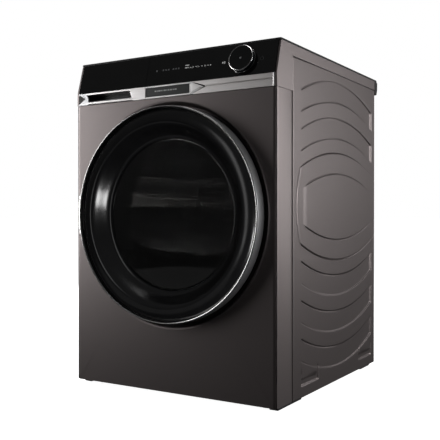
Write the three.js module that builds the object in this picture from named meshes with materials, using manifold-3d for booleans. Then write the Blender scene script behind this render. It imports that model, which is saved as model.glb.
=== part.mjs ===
// A front-loading heat pump clothes dryer, 596 mm wide, as an assembly of separate pieces.
// Millimetres. +X is the viewer's right, -Y the front, +Z up. The origin is on the floor, in the
// middle of the machine's outline. Inside the root group, y = 0 is the face of the front panel and
// y grows towards the back.
import * as THREE from "three";
import { mergeVertices } from "three/addons/utils/BufferGeometryUtils.js";
import Module from "manifold-3d";

const wasm = await Module();
wasm.setup();

// ---------------------------------------------------------------- driving dimensions

const HALF_WIDTH = 298;
const HEIGHT = 850;
const SHELL_BACK = 633.5; // back edge of the side panels
const LID_BACK = 658; // back edge of the worktop, which overhangs the back
const DOOR_PROUD = 30; // the door ring's rim in front of the front panel
const FRONT_Y = -(LID_BACK - DOOR_PROUD) / 2; // puts the outline's middle at the origin

const GAP = 0.3; // between pieces that touch
const SHEET = 2; // sheet steel, drawn a little thick
const PANEL_LOW = 12; // bottom of the front panel
const SEAM_Z = 737; // joint between the front panel and the control panel
const STRIP_TOP = 769; // top of the trim strip, where the glass starts to slope
const LID_LOW = 819; // bottom of the lid's side band
const WORKTOP_LOW = 845;
const SIDE_FRONT = 82.5; // front edge of the side panels
const GLASS_BACK = 22.4; // how far the glass slopes back by the machine's top
const GLASS_TILT = Math.atan2(GLASS_BACK, HEIGHT - STRIP_TOP);
const CAP = 5; // thickness of the lid's end caps

const DOOR_Z = 448.5; // height of the door's centre
const RING_R = 264.5;
const RECESS_R = 277; // edge of the round recess in the front panel
const RECESS_FLOOR_R = 269;
const RECESS_DEPTH = 14;
const MOUTH_R = 203; // loading opening
const WINDOW_R = 185.5;

const DRUM_Z = 455; // height of the drum's axis
const DRUM_R = 278;
const DRUM_FRONT = 92;
const DRUM_BACK = 547;
const DRUM_LIP_R = 222;

const HINGE_X = -270.5; // door pin, in the gap left of the ring
const HINGE_Y = -14;
const HINGE_PIN_R = 3;
const KNUCKLE = 38.5; // half the height of the door's knuckle
const HINGE_HALF = 49.5; // half the height of the fixed bracket
const HOOK = { x: 222, y: 2, pin: 2.5 };

const DRAWER_RIGHT = -71; // right edge of the water drawer's front
const DRAWER_LEFT = -292;

const MOTOR_X = 165;
const MOTOR_Z = 118;
const SHAFT_R = 6;
const PULLEY_R = 12;
const BELT_Y = [338, 350];
const BELT_T = 3;
const IDLER = { x: 50, z: 137, r: 14 };
const IDLER_PIVOT = { x: 95, z: 85 };

const ROLLER_R = 25;
const ROLLER_ANGLE = THREE.MathUtils.degToRad(35);
const ROLLER_RUN = DRUM_R + ROLLER_R + 0.4; // drum axis to roller axis
const ROLLER_X = ROLLER_RUN * Math.sin(ROLLER_ANGLE);
const ROLLER_Z = DRUM_Z - ROLLER_RUN * Math.cos(ROLLER_ANGLE);

const FEET = [
  [-247, 52],
  [247, 52],
  [-247, 585],
  [247, 585],
];

const FINE = 32; // facets of a large round
const COARSE = 14; // facets of a small one

// ---------------------------------------------------------------- materials

const material = (color, roughness, metalness = 0, extra = {}) =>
  new THREE.MeshStandardMaterial({ color, roughness, metalness, ...extra });
const graphite = material(0x6e6664, 0.38, 0.6);
const blackGlass = material(0x0b0b0c, 0.06);
const blackGloss = material(0x08080a, 0.12);
const smokedGlass = material(0x0c0d0e, 0.05, 0, { transparent: true, opacity: 0.55 });
const clearGlass = material(0xb8c2c2, 0.05, 0, { transparent: true, opacity: 0.3 });
const chrome = material(0xc9c5c2, 0.14, 1);
const satinMetal = material(0x8e8d8c, 0.28, 1);
const blackPlastic = material(0x17171a, 0.55);
const greyPlastic = material(0x6f7173, 0.6);
const galvanised = material(0xa4a7a9, 0.42, 0.9);
const steel = material(0xc2c4c4, 0.25, 1);
const rubber = material(0x1b1b1c, 0.85);
const felt = material(0x8d8a80, 0.95);
const copper = material(0xb4673f, 0.3, 1);
const fins = material(0xb9bdc0, 0.4, 0.9);
const circuit = material(0x1f4a2c, 0.5);
const castGrey = material(0x3d4042, 0.5, 0.3);
const tankPlastic = material(0xb9bfc3, 0.4);

// ---------------------------------------------------------------- solids

// A closed geometry as a solid that can be joined and cut, faces turned outwards.
function solid(geometry) {
  const loose = geometry.index ? geometry.toNonIndexed() : geometry;
  const bare = new THREE.BufferGeometry().setAttribute("position", loose.getAttribute("position"));
  const merged = mergeVertices(bare, 1e-3);
  const corners = merged.index.array;
  const kept = [];
  for (let i = 0; i < corners.length; i += 3) {
    const [a, b, c] = [corners[i], corners[i + 1], corners[i + 2]];
    if (a !== b && b !== c && c !== a) kept.push(a, b, c);
  }
  const build = (triVerts) =>
    new wasm.Manifold(
      new wasm.Mesh({
        numProp: 3,
        vertProperties: merged.getAttribute("position").array,
        triVerts: new Uint32Array(triVerts),
      }),
    );
  const made = build(kept);
  return made.volume() > 0 ? made : build(kept.reverse());
}

// A solid's surface as a geometry for a mesh.
function surface(shape) {
  const mesh = shape.getMesh();
  const geometry = new THREE.BufferGeometry();
  geometry.setAttribute("position", new THREE.BufferAttribute(mesh.vertProperties, 3));
  geometry.setIndex(new THREE.BufferAttribute(mesh.triVerts, 1));
  geometry.computeVertexNormals();
  return geometry;
}

const join = (...shapes) => shapes.reduce((a, b) => a.add(b));
const cut = (shape, ...tools) => tools.reduce((a, b) => a.subtract(b), shape);

function block([x0, x1], [y0, y1], [z0, z1]) {
  const box = new THREE.BoxGeometry(x1 - x0, y1 - y0, z1 - z0);
  return solid(box.translate((x0 + x1) / 2, (y0 + y1) / 2, (z0 + z1) / 2));
}

// A round bar along y, from y0 to y1, about the line at (x, z).
function barY(r, y0, y1, x = 0, z = 0, facets = COARSE) {
  const bar = new THREE.CylinderGeometry(r, r, y1 - y0, facets);
  return solid(bar.translate(x, (y0 + y1) / 2, z));
}

// A round bar along z, from z0 to z1, about the line at (x, y).
function barZ(r, z0, z1, x = 0, y = 0, facets = COARSE) {
  const bar = new THREE.CylinderGeometry(r, r, z1 - z0, facets).rotateX(Math.PI / 2);
  return solid(bar.translate(x, y, (z0 + z1) / 2));
}

// A profile of [radius, y] pairs turned about the y axis. It starts and ends on the axis, or closes
// on itself.
function turned(profile, facets = FINE) {
  const points = profile.map(([r, y]) => new THREE.Vector2(r, y));
  if (points[0].x > 0) points.push(points[0].clone());
  return solid(new THREE.LatheGeometry(points, facets));
}

const outline = (points) => new THREE.Shape(points.map(([a, b]) => new THREE.Vector2(a, b)));
const extruded = (shape, depth, curveSegments) =>
  new THREE.ExtrudeGeometry(shape, { depth, bevelEnabled: false, curveSegments });

// A (y, z) outline extruded from x0 to x1.
function prismX(shape, x0, x1, curveSegments = 3) {
  const turn = new THREE.Matrix4().makeBasis(
    new THREE.Vector3(0, 1, 0),
    new THREE.Vector3(0, 0, 1),
    new THREE.Vector3(1, 0, 0),
  );
  return solid(extruded(shape, x1 - x0, curveSegments).applyMatrix4(turn).translate(x0, 0, 0));
}

// An (x, z) outline extruded from y0 to y1.
function prismY(shape, y0, y1, curveSegments = 4) {
  return solid(extruded(shape, y1 - y0, curveSegments).rotateX(Math.PI / 2).translate(0, y1, 0));
}

// An (x, y) outline extruded from z0 to z1.
function prismZ(shape, z0, z1, curveSegments = 5) {
  return solid(extruded(shape, z1 - z0, curveSegments).translate(0, 0, z0));
}

// ---------------------------------------------------------------- the scene graph

const root = new THREE.Group();
root.position.y = FRONT_Y;

// A group whose origin is at (x, y, z), for pieces that are simplest about their own axis.
function groupAt(x, y, z) {
  const group = new THREE.Group();
  group.position.set(x, y, z);
  root.add(group);
  return group;
}

function place(group, name, shape, look) {
  const mesh = new THREE.Mesh(surface(shape), look);
  mesh.name = name;
  group.add(mesh);
  return mesh;
}

// ---------------------------------------------------------------- cabinet sheet metal

// The steel front, with rounded vertical edges, turned-in flanges and a round recess that the door sits in.
function frontPanel() {
  const w = HALF_WIDTH - 2.5;
  const bend = 7;
  const flange = 20;
  const section = new THREE.Shape();
  section.moveTo(-w, flange);
  section.lineTo(-w, bend);
  section.absarc(-w + bend, bend, bend, Math.PI, 1.5 * Math.PI, false);
  section.absarc(w - bend, bend, bend, -0.5 * Math.PI, 0, false);
  section.lineTo(w, flange);
  section.lineTo(w - SHEET, flange);
  section.absarc(w - bend, bend, bend - SHEET, 0, -0.5 * Math.PI, true);
  section.absarc(-w + bend, bend, bend - SHEET, 1.5 * Math.PI, Math.PI, true);
  section.lineTo(-w + SHEET, flange);
  const face = prismZ(section, PANEL_LOW, SEAM_Z - 1);
  const edges = [PANEL_LOW, SEAM_Z - 1 - SHEET].map((z) =>
    block([-w + 5, w - 5], [1, flange - 3], [z, z + SHEET]),
  );
  const hole = barY(RECESS_R, -5, 30, 0, DOOR_Z, FINE);
  const dish = turned([
    [RECESS_R, 0],
    [RECESS_FLOOR_R, RECESS_DEPTH],
    [RECESS_FLOOR_R + 2.3, RECESS_DEPTH],
    [RECESS_R + 2.5, SHEET - 0.1],
  ]).translate([0, 0, DOOR_Z]);
  const notch = block([-283, -262], [-5, 30], [DOOR_Z - HINGE_HALF - 1.5, DOOR_Z + HINGE_HALF + 1.5]);
  return cut(join(cut(join(face, ...edges), hole), dish), notch);
}

// The plain strip between the front panel and a side panel, folded in at its back edge.
function frontSideStrip() {
  const x = HALF_WIDTH;
  const back = SIDE_FRONT - 0.8;
  const section = outline([
    [x - SHEET, 3],
    [x, 3],
    [x, back],
    [x - 6.5, back],
    [x - 6.5, back - SHEET],
    [x - SHEET, back - SHEET],
  ]);
  return prismZ(section, PANEL_LOW, SEAM_Z - 0.4);
}

const ARC_R = 620; // every pressed arc in the side panels has this radius
const PRESS_Y = 366; // the pattern's middle
const PRESS_Z = 469;
const PRESS_HALF = 241; // half its length front to back
const PRESS_BANDS = [
  [-418, -366],
  [-326, -274],
  [-232, -180],
  [180, 232],
  [274, 326],
]; // heights of the bands' two arcs at mid-length, from the pattern's middle

// One end-to-end arc with its crown at height h from the pattern's middle, bulging away from it.
function pressedArc(shape, h, half, forwards) {
  const spread = Math.asin(half / ARC_R);
  const up = h > 0;
  const centre = PRESS_Z + h - (up ? ARC_R : -ARC_R);
  const middle = up ? Math.PI / 2 : -Math.PI / 2;
  const first = up === forwards ? middle + spread : middle - spread;
  shape.absarc(PRESS_Y, centre, ARC_R, first, 2 * middle - first, up === forwards);
}

function pressedBand([low, high], grow = 0) {
  const shape = new THREE.Shape();
  pressedArc(shape, low - grow, PRESS_HALF + grow, true);
  pressedArc(shape, high + grow, PRESS_HALF + grow, false);
  return shape;
}

// The large middle pocket: arcs above and below, and a front edge that bows forwards.
function pressedMiddle(grow = 0) {
  const crown = 140.5 + grow;
  const half = 236 + grow;
  const bow = 24;
  const corner = crown - ARC_R + Math.sqrt(ARC_R ** 2 - half ** 2);
  const bowR = (corner ** 2 + bow ** 2) / (2 * bow);
  const bowAngle = Math.asin(corner / bowR);
  const shape = new THREE.Shape();
  pressedArc(shape, -crown, half, true);
  pressedArc(shape, crown, half, false);
  const bowY = PRESS_Y - half - bow + bowR;
  shape.absarc(bowY, PRESS_Z, bowR, Math.PI - bowAngle, Math.PI + bowAngle, false);
  return shape;
}

const rectangle = (y0, y1, z0, z1) => outline([[y0, z0], [y1, z0], [y1, z1], [y0, z1]]);

// One side of the cabinet: a sheet with pressed-in bands and a raised field in the middle pocket.
function sidePanel() {
  const outer = HALF_WIDTH;
  const inner = outer - 2.5;
  const floor = outer - 4;
  const behind = outer - 6.7;
  const wall = 2.5;
  const sheet = block([inner, outer], [SIDE_FRONT, SHELL_BACK], [10, LID_LOW - GAP]);
  const lowPockets = [127, 503].map((y) => [y, y + 102]);
  const pads = [
    ...PRESS_BANDS.map((band) => pressedBand(band, wall)),
    pressedMiddle(wall),
    ...lowPockets.map(([y0, y1]) => rectangle(y0 - wall, y1 + wall, 35.5, 60.5)),
  ];
  const pockets = [
    ...PRESS_BANDS.map((band) => pressedBand(band)),
    pressedMiddle(),
    ...lowPockets.map(([y0, y1]) => rectangle(y0, y1, 38, 58)),
  ];
  const field = new THREE.Shape();
  pressedArc(field, -87, 210, true);
  pressedArc(field, 87, 210, false);
  const bottomFold = block([outer - 6.5, outer], [SIDE_FRONT, SHELL_BACK], [10, 10 + SHEET]);
  const pressed = cut(
    join(sheet, bottomFold, ...pads.map((shape) => prismX(shape, behind, inner + 1))),
    ...pockets.map((shape) => prismX(shape, floor, outer + 1)),
  );
  return join(pressed, prismX(field, floor - 1, outer - 1));
}

function rearPanel() {
  const w = HALF_WIDTH - 3;
  const sheet = block([-w, w], [629, 631], [16, LID_LOW - 15]);
  const vents = [-3, -2, -1, 0, 1, 2, 3].map((i) =>
    block([i * 30 - 11, i * 30 + 11], [620, 640], [60, 68]),
  );
  const ribs = [-250, 235].map((x) => block([x, x + 15], [630, 632.6], [60, 780]));
  return cut(join(sheet, ...ribs), ...vents);
}

// The raised cover over the warm air duct on the back.
function rearDuctCover() {
  const dome = turned([
    [0, 632.9],
    [228, 632.9],
    [228, 635.5],
    [219, 637],
    [207, 653],
    [0, 653],
  ]).translate([0, 0, DRUM_Z]);
  const hollow = turned([
    [0, 620],
    [214, 620],
    [214, 637],
    [204, 650.5],
    [0, 650.5],
  ]).translate([0, 0, DRUM_Z]);
  const slots = [];
  for (let i = 0; i < 8; i += 1) {
    const angle = ((i + 0.5) * Math.PI) / 4;
    const x = 160 * Math.sin(angle);
    const z = DRUM_Z + 160 * Math.cos(angle);
    slots.push(block([x - 6, x + 6], [640, 660], [z - 14, z + 14]));
  }
  return cut(dome, hollow, ...slots);
}

// ---------------------------------------------------------------- lid and control panel

// The moulded frame under the worktop: side bands, a back bar, and the end caps of the control
// panel in one piece.
function topFrame() {
  const capOutline = outline([
    [1.5, SEAM_Z + 0.4],
    [1.5, STRIP_TOP],
    [1.5 + (WORKTOP_LOW - STRIP_TOP) * Math.tan(GLASS_TILT), WORKTOP_LOW],
    [SIDE_FRONT - 0.4, WORKTOP_LOW],
    [SIDE_FRONT - 0.4, SEAM_Z + 0.4],
  ]);
  const bandOutline = outline([
    [SIDE_FRONT - 3, LID_LOW],
    [LID_BACK - 24, LID_LOW],
    [LID_BACK - 18, 806],
    [LID_BACK - 6, 806],
    [LID_BACK, LID_LOW + 4],
    [LID_BACK, WORKTOP_LOW],
    [SIDE_FRONT - 3, WORKTOP_LOW],
  ]);
  const backOutline = outline([
    [637, 806.5],
    [LID_BACK - 6.3, 806.5],
    [LID_BACK - 0.4, LID_LOW + 4.2],
    [LID_BACK - 0.4, WORKTOP_LOW - 0.4],
    [637, WORKTOP_LOW - 0.4],
  ]);
  const sides = [
    [-HALF_WIDTH, -HALF_WIDTH + CAP],
    [HALF_WIDTH - CAP, HALF_WIDTH],
  ];
  const caps = sides.map(([x0, x1]) => prismX(capOutline, x0, x1));
  const bands = sides.map(([x0, x1]) => prismX(bandOutline, x0, x1));
  const ledges = [
    [-HALF_WIDTH + 1, -272],
    [272, HALF_WIDTH - 1],
  ].map((x) => block(x, [90, LID_BACK - 4], [839, 842]));
  const backBar = prismX(backOutline, -HALF_WIDTH + 3, HALF_WIDTH - 3);
  const frontBeam = block([-HALF_WIDTH + 2, HALF_WIDTH - 2], [44, 76], [838, 843]);
  return join(...caps, ...bands, backBar, ...ledges, frontBeam);
}

function worktop() {
  const edge = 1;
  const w = HALF_WIDTH - 0.3 - edge;
  const front = (WORKTOP_LOW - STRIP_TOP) * Math.tan(GLASS_TILT) + edge;
  const shape = outline([[-w, front], [w, front], [w, LID_BACK - edge], [-w, LID_BACK - edge]]);
  const thickness = HEIGHT - WORKTOP_LOW - GAP - 2 * edge;
  const slab = new THREE.ExtrudeGeometry(shape, {
    depth: thickness,
    bevelThickness: edge,
    bevelSize: edge,
    bevelSegments: 2,
  });
  return solid(slab.translate(0, 0, WORKTOP_LOW + GAP + edge));
}

// A sheet that lies on the control panel's slope, from x0 to x1, with its front face set back
// behind the slope.
function slopedSheet(x0, x1, setBack, thickness, low, high) {
  const yAt = (z) => (z - STRIP_TOP) * Math.tan(GLASS_TILT) + setBack;
  const through = thickness / Math.cos(GLASS_TILT);
  const shape = outline([
    [yAt(low), low],
    [yAt(high), high],
    [yAt(high) + through, high],
    [yAt(low) + through, low],
  ]);
  return prismX(shape, x0, x1);
}

const KNOB = { x: 206, z: 806, r: 32, proud: 14, shaft: 4 };
KNOB.y = (KNOB.z - STRIP_TOP) * Math.tan(GLASS_TILT);

// A tool along the knob's axis, square to the glass, for the holes that the knob's shaft needs.
function knobHole(r) {
  const bore = new THREE.CylinderGeometry(r, r, 60, COARSE);
  bore.rotateX(-GLASS_TILT).translate(KNOB.x, KNOB.y, KNOB.z);
  return solid(bore);
}

function controlGlass() {
  const left = DRAWER_RIGHT + 0.7;
  const right = HALF_WIDTH - CAP - 0.7;
  const glass = slopedSheet(left, right, 0, 3, STRIP_TOP + 0.5, WORKTOP_LOW - 0.2);
  return cut(glass, knobHole(KNOB.shaft + 0.5));
}

function controlBoard() {
  const board = slopedSheet(-40, 285, 13, 1.6, 774, 835);
  return cut(board, knobHole(KNOB.shaft + 1));
}

const STRIP_Z = [SEAM_Z + 0.5, STRIP_TOP - 0.5];
const STRIP_FACE = 1.5;
const LABEL = { x: [-67, 62], z: [742.5, 764] };
const ARROW_TIP = 103;

// The bright trim right of the drawer: a pocket for the dark label, an arrow head, and a grooved bar.
function trimStrip() {
  const bar = block([DRAWER_RIGHT + 0.7, HALF_WIDTH - CAP - 0.8], [STRIP_FACE, 9], STRIP_Z);
  const pocket = block(LABEL.x, [0, 5], LABEL.z);
  const groove = block([ARROW_TIP + 5, 287], [0, 4.5], [752, 755.5]);
  const arrow = prismY(
    outline([
      [LABEL.x[1] + 1, STRIP_Z[0] + 3],
      [ARROW_TIP, 754],
      [LABEL.x[1] + 1, STRIP_Z[1] - 1],
    ]),
    -0.8,
    2,
  );
  return join(cut(bar, pocket, groove), arrow);
}

function stripLabel() {
  const [x, z] = [LABEL.x, LABEL.z];
  return block([x[0] + GAP, x[1] - GAP], [2.2, 5 - GAP], [z[0] + GAP, z[1] - GAP]);
}

// ---------------------------------------------------------------- water drawer

function tankFront() {
  return slopedSheet(DRAWER_LEFT, DRAWER_RIGHT, 0, 3, STRIP_TOP + 0.5, WORKTOP_LOW - 0.2);
}

const GRIP = { x: [-270, -118], z: [747.5, 763.5], back: 30 };

// The bright bar under the drawer's glass, with the pocket that fingers pull on.
function tankGrip() {
  const bar = block([DRAWER_LEFT, DRAWER_RIGHT], [STRIP_FACE, GRIP.back + 4], STRIP_Z);
  return cut(bar, block(GRIP.x, [-5, GRIP.back], GRIP.z));
}

const TANK = { x: [-286, -85], y: [40, 480], z: [758.5, 832], wall: 2.5 };

// The condensate container, with a filling hole at the back and a plate at the front that carries the glass.
function waterTank() {
  const { x, y, z, wall } = TANK;
  const hollow = block([x[0] + wall, x[1] - wall], [y[0] + wall, y[1] - wall], [z[0] + wall, z[1] - wall]);
  const fillHole = block([-225, -165], [y[1] - 80, y[1] - 35], [z[1] - 10, z[1] + 10]);
  const plate = slopedSheet(...x, 3.4, 5, STRIP_TOP + 1, WORKTOP_LOW - 5);
  const neck = block(x, [8, y[0] + 1], [STRIP_TOP + 1, STRIP_TOP + 7]);
  const lug = block([x[0] + 20, x[1] - 20], [GRIP.back + 4 + GAP, y[0] + 1], [z[0], z[0] + 9]);
  return join(cut(block(x, y, z), hollow, fillHole), plate, neck, lug);
}

function tankSleeve() {
  const x = [-290.6, -80];
  const y = [86, 500];
  const z = [753, 836];
  const wall = 2;
  const tray = block(x, y, z);
  const room = block([x[0] + wall, x[1] - wall], [y[0] - 5, y[1] - wall], [z[0] + wall, z[1] + 5]);
  return cut(tray, room);
}

// ---------------------------------------------------------------- drum, its supports and the loading mouth

function drumShell() {
  const t = 2.5;
  return turned([
    [0, DRUM_BACK],
    [DRUM_R - 3, DRUM_BACK],
    [DRUM_R, DRUM_BACK - 3],
    [DRUM_R, DRUM_FRONT + 9],
    [DRUM_R - 8, DRUM_FRONT],
    [DRUM_LIP_R, DRUM_FRONT],
    [DRUM_LIP_R, DRUM_FRONT + t],
    [DRUM_R - 9, DRUM_FRONT + t],
    [DRUM_R - t, DRUM_FRONT + 10],
    [DRUM_R - t, DRUM_BACK - t],
    [0, DRUM_BACK - t],
  ]);
}

const LIFTER_Y = [112, 532];
const LIFTER_TURN = -0.297; // how far the first lifter rests from the drum's lowest point

// One of the three ribs that lift the laundry: broad where it meets the drum and round-topped,
// drawn at the bottom.
function drumLifter() {
  const seat = DRUM_R - 4.2;
  const half = 46;
  const foot = -Math.sqrt(seat ** 2 - half ** 2);
  const crown = -seat + 62;
  const section = new THREE.Shape();
  const spread = Math.asin(half / seat);
  section.absarc(0, 0, seat, -Math.PI / 2 - spread, -Math.PI / 2 + spread, false);
  section.quadraticCurveTo(16, foot + 22, 10, crown - 6);
  section.quadraticCurveTo(0, crown + 6, -10, crown - 6);
  section.quadraticCurveTo(-16, foot + 22, -half, foot);
  return prismY(section, ...LIFTER_Y, 6);
}

function drumShaft() {
  return turned(
    [
      [0, DRUM_BACK + GAP],
      [45, DRUM_BACK + GAP],
      [45, DRUM_BACK + 3],
      [10, DRUM_BACK + 4],
      [10, 604],
      [0, 604],
    ],
    COARSE,
  );
}

const rearWallY = [556, 559];

function rearBulkhead() {
  const wall = block([-285, 285], rearWallY, [72, 812]);
  const ports = [0, 1, 2, 3, 4, 5].map((i) => {
    const angle = (i * Math.PI) / 3;
    return barY(38, 540, 570, 150 * Math.sin(angle), DRUM_Z + 150 * Math.cos(angle), 12);
  });
  return cut(wall, barY(22, 540, 570, 0, DRUM_Z), ...ports);
}

const ringAbout = (rIn, rOut, y0, y1, facets = FINE) =>
  turned([[rIn, y0], [rOut, y0], [rOut, y1], [rIn, y1]], facets);

const FILTER = { half: 85, y: [76, 88], z: [240, 345] };
const CRESCENT_Y = [69, 103];

// The lower lip of the mouth, which houses the lint filter: the mouth's circle with a wide shallow
// curve cut out.
function filterHousing() {
  const curveR = 330;
  const low = DOOR_Z - 110;
  const plug = barY(MOUTH_R + 2, ...CRESCENT_Y, 0, DOOR_Z, FINE);
  return cut(plug, barY(curveR, CRESCENT_Y[0] - 1, CRESCENT_Y[1] + 1, 0, low + curveR, FINE));
}

// The moulded wall behind the front: door seat, roller stubs, and the mouth's collar, which reaches
// into the drum.
function frontBulkhead() {
  const seat = ringAbout(MOUTH_R, 270, 17, 20).translate([0, 0, DOOR_Z]);
  const collar = ringAbout(MOUTH_R, MOUTH_R + 4, 18, 104).translate([0, 0, DOOR_Z]);
  const wall = cut(
    block([-286, 286], [60, 64], [72, 732]),
    barY(MOUTH_R + 2, 40, 80, 0, DOOR_Z, FINE),
  );
  const stubs = [-ROLLER_X, ROLLER_X].map((x) => barY(5, 62, 122, x, ROLLER_Z, 12));
  const { half, y, z } = FILTER;
  const slot = block([-half - 1, half + 1], [y[0] - 1, y[1] + 1], [z[0] - 0.5, z[1] + 20]);
  const lockSlot = block([209, 241], [10, 30], [DOOR_Z - 12, DOOR_Z + 12]);
  return cut(join(seat, collar, wall, filterHousing(), ...stubs), slot, lockSlot);
}

function lintFilter() {
  const { half, y, z } = FILTER;
  const cassette = block([-half, half], y, z);
  const hollow = block([-half + 5, half - 5], [y[0] + 2, y[1] - 2], [z[0] + 4, z[1] - 12]);
  const window = [-1, 0, 1].map((i) =>
    block([i * 54 - 23, i * 54 + 23], [y[0] - 1, y[1] + 1], [z[0] + 10, z[1] - 22]),
  );
  const grip = block([-28, 28], [y[0] + 2, y[1] - 2], [z[1] - 1, z[1] + 9]);
  return join(cut(cassette, hollow, ...window), grip);
}

function drumRoller() {
  const half = 10;
  return turned(
    [
      [5.4, -half],
      [ROLLER_R - 2, -half],
      [ROLLER_R, -half + 3],
      [ROLLER_R, half - 3],
      [ROLLER_R - 2, half],
      [5.4, half],
    ],
    COARSE,
  );
}

// ---------------------------------------------------------------- door

function doorRing() {
  const ring = turned([
    [RING_R, 3.5],
    [RING_R, -27],
    [RING_R - 1.8, -29.6],
    [RING_R - 4, -DOOR_PROUD],
    [RING_R - 6.5, -28.5],
    [RING_R - 7.5, -25],
    [RING_R - 3.5, -23],
    [RING_R - 3, 3.5],
  ]);
  return cut(ring, block([-275, -250], [-22, -6], [-KNUCKLE - 1.5, KNUCKLE + 1.5]));
}

// The glossy black dish: a round crown inside the ring that falls away to the sunken window.
function doorBezel() {
  const front = [
    [RING_R - 8.5, -24],
    [248, -24],
    [239, -27],
    [227, -29],
    [214, -26.5],
    [205, -16],
    [199, -2],
    [WINDOW_R + 6, 8],
    [WINDOW_R + 0.6, 11],
  ];
  const back = [
    [WINDOW_R + 0.6, 14.5],
    [WINDOW_R + 6, 14.5],
    [202, 3],
    [216, -22],
    [227, -25.5],
    [RING_R - 8.5, -20.5],
  ];
  return turned([...front, ...back]);
}

function doorWindow() {
  return turned([
    [0, 7.5],
    [100, 8.5],
    [WINDOW_R, 12],
    [WINDOW_R, 15],
    [100, 11.5],
    [0, 10.5],
  ]);
}

// The inner half of the door, which carries the bowl and the hook.
function doorLiner() {
  const shell = turned([
    [RING_R - 4.5, -13],
    [RING_R - 4.5, 3.5],
    [252, 10],
    [205, 10],
    [192.5, 18],
    [192.5, 15.5],
    [204, 7.5],
    [250, 7.5],
    [RING_R - 7.5, 4],
    [RING_R - 7.5, -13],
  ]);
  const hingeNotch = block([-275, -244], [-20, 12], [-KNUCKLE - 1.5, KNUCKLE + 1.5]);
  const hookSlot = block([HOOK.x - 8, HOOK.x + 12], [-20, 12], [-8, 8]);
  const ears = [
    [-12, -8],
    [8, 12],
  ].map((z) => block([HOOK.x - 6, HOOK.x + 6], [-4, 9], z));
  const pinHole = barZ(HOOK.pin + GAP, -14, 14, HOOK.x, HOOK.y);
  return cut(join(cut(shell, hingeNotch, hookSlot), ...ears), pinHole);
}

// The clear bowl that keeps the laundry off the window and fills the mouth.
function doorBowl() {
  return turned([
    [0, 67],
    [150, 64],
    [178, 50],
    [188, 28],
    [191.5, 15.2],
    [187, 15.2],
    [184, 27],
    [175, 47],
    [148, 60.5],
    [0, 63.5],
  ]);
}

function hingeArm() {
  const knuckle = barZ(6.5, -KNUCKLE, KNUCKLE, HINGE_X, HINGE_Y);
  const leaf = block([HINGE_X, -246], [HINGE_Y - 4, HINGE_Y + 4], [-KNUCKLE, KNUCKLE]);
  const foot = block([-250, -246], [HINGE_Y - 4, 4], [-KNUCKLE, KNUCKLE]);
  return cut(join(knuckle, leaf, foot), barZ(HINGE_PIN_R + GAP, -60, 60, HINGE_X, HINGE_Y));
}

function hingeBracket() {
  const plate = block([-281.5, -243], [13.2, 16.7], [-HINGE_HALF, HINGE_HALF]);
  const lugs = [
    [-HINGE_HALF, -KNUCKLE - 2],
    [KNUCKLE + 2, HINGE_HALF],
  ].map((z) =>
    join(block([HINGE_X - 4.5, HINGE_X + 4.5], [HINGE_Y, 15], z), barZ(4.5, ...z, HINGE_X, HINGE_Y)),
  );
  return cut(join(plate, ...lugs), barZ(HINGE_PIN_R + GAP, -60, 60, HINGE_X, HINGE_Y));
}

// The sprung hook on the door, which turns about a vertical pin and reaches into the lock.
function doorHook() {
  const arm = outline([
    [-3.5, -5],
    [3.5, -5],
    [3.5, 26],
    [11, 26],
    [11, 30],
    [3.5, 37],
    [-3.5, 37],
  ]);
  return join(prismZ(arm, -7, 7), barZ(5, -7, 7), barZ(HOOK.pin, -12, 12, 0, 0, 10));
}

function doorLock() {
  const house = block([208, 251], [20.5, 54], [DOOR_Z - 24, DOOR_Z + 24]);
  const room = block([212, 241], [25, 50], [DOOR_Z - 11, DOOR_Z + 11]);
  const mouth = block([212, 240], [10, 30], [DOOR_Z - 11, DOOR_Z + 11]);
  return cut(house, room, mouth);
}

// ---------------------------------------------------------------- drive and heat pump

// A belt's loop round wheels in the (x, z) plane, anticlockwise. A wheel with inside false presses
// from outside.
function beltLoop(wheels) {
  const points = [];
  const signed = (w) => (w.inside ? w.r : -w.r);
  const leaveAngle = (a, b) => {
    const span = Math.hypot(b.x - a.x, b.z - a.z);
    return Math.atan2(b.z - a.z, b.x - a.x) - Math.acos((signed(a) - signed(b)) / span);
  };
  wheels.forEach((wheel, i) => {
    const before = wheels[(i + wheels.length - 1) % wheels.length];
    const after = wheels[(i + 1) % wheels.length];
    const start = leaveAngle(before, wheel);
    let end = leaveAngle(wheel, after);
    if (wheel.inside) while (end < start) end += 2 * Math.PI;
    else while (end > start) end -= 2 * Math.PI;
    const steps = Math.max(3, Math.ceil(Math.abs(end - start) / (Math.PI / 18)));
    for (let k = 0; k <= steps; k += 1) {
      const angle = start + ((end - start) * k) / steps;
      points.push([wheel.x + signed(wheel) * Math.cos(angle), wheel.z + signed(wheel) * Math.sin(angle)]);
    }
  });
  return points;
}

function driveBelt() {
  const wheels = (extra) => [
    { x: 0, z: DRUM_Z, r: DRUM_R + 2.2 + extra, inside: true },
    { x: IDLER.x, z: IDLER.z, r: IDLER.r + 0.8 + BELT_T - extra, inside: false },
    { x: MOTOR_X, z: MOTOR_Z, r: PULLEY_R + 0.8 + extra, inside: true },
  ];
  const loop = outline(beltLoop(wheels(BELT_T)));
  const hole = outline(beltLoop(wheels(0)));
  return cut(prismY(loop, ...BELT_Y), prismY(hole, BELT_Y[0] - 1, BELT_Y[1] + 1));
}

const FAN_Y = [126, 182];

function motorShaft() {
  return turned(
    [
      [0, 132],
      [SHAFT_R, 132],
      [SHAFT_R, 335],
      [PULLEY_R + 2, 335],
      [PULLEY_R, 337],
      [PULLEY_R, 351],
      [PULLEY_R + 2, 353],
      [0, 353],
    ],
    COARSE,
  );
}

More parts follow.
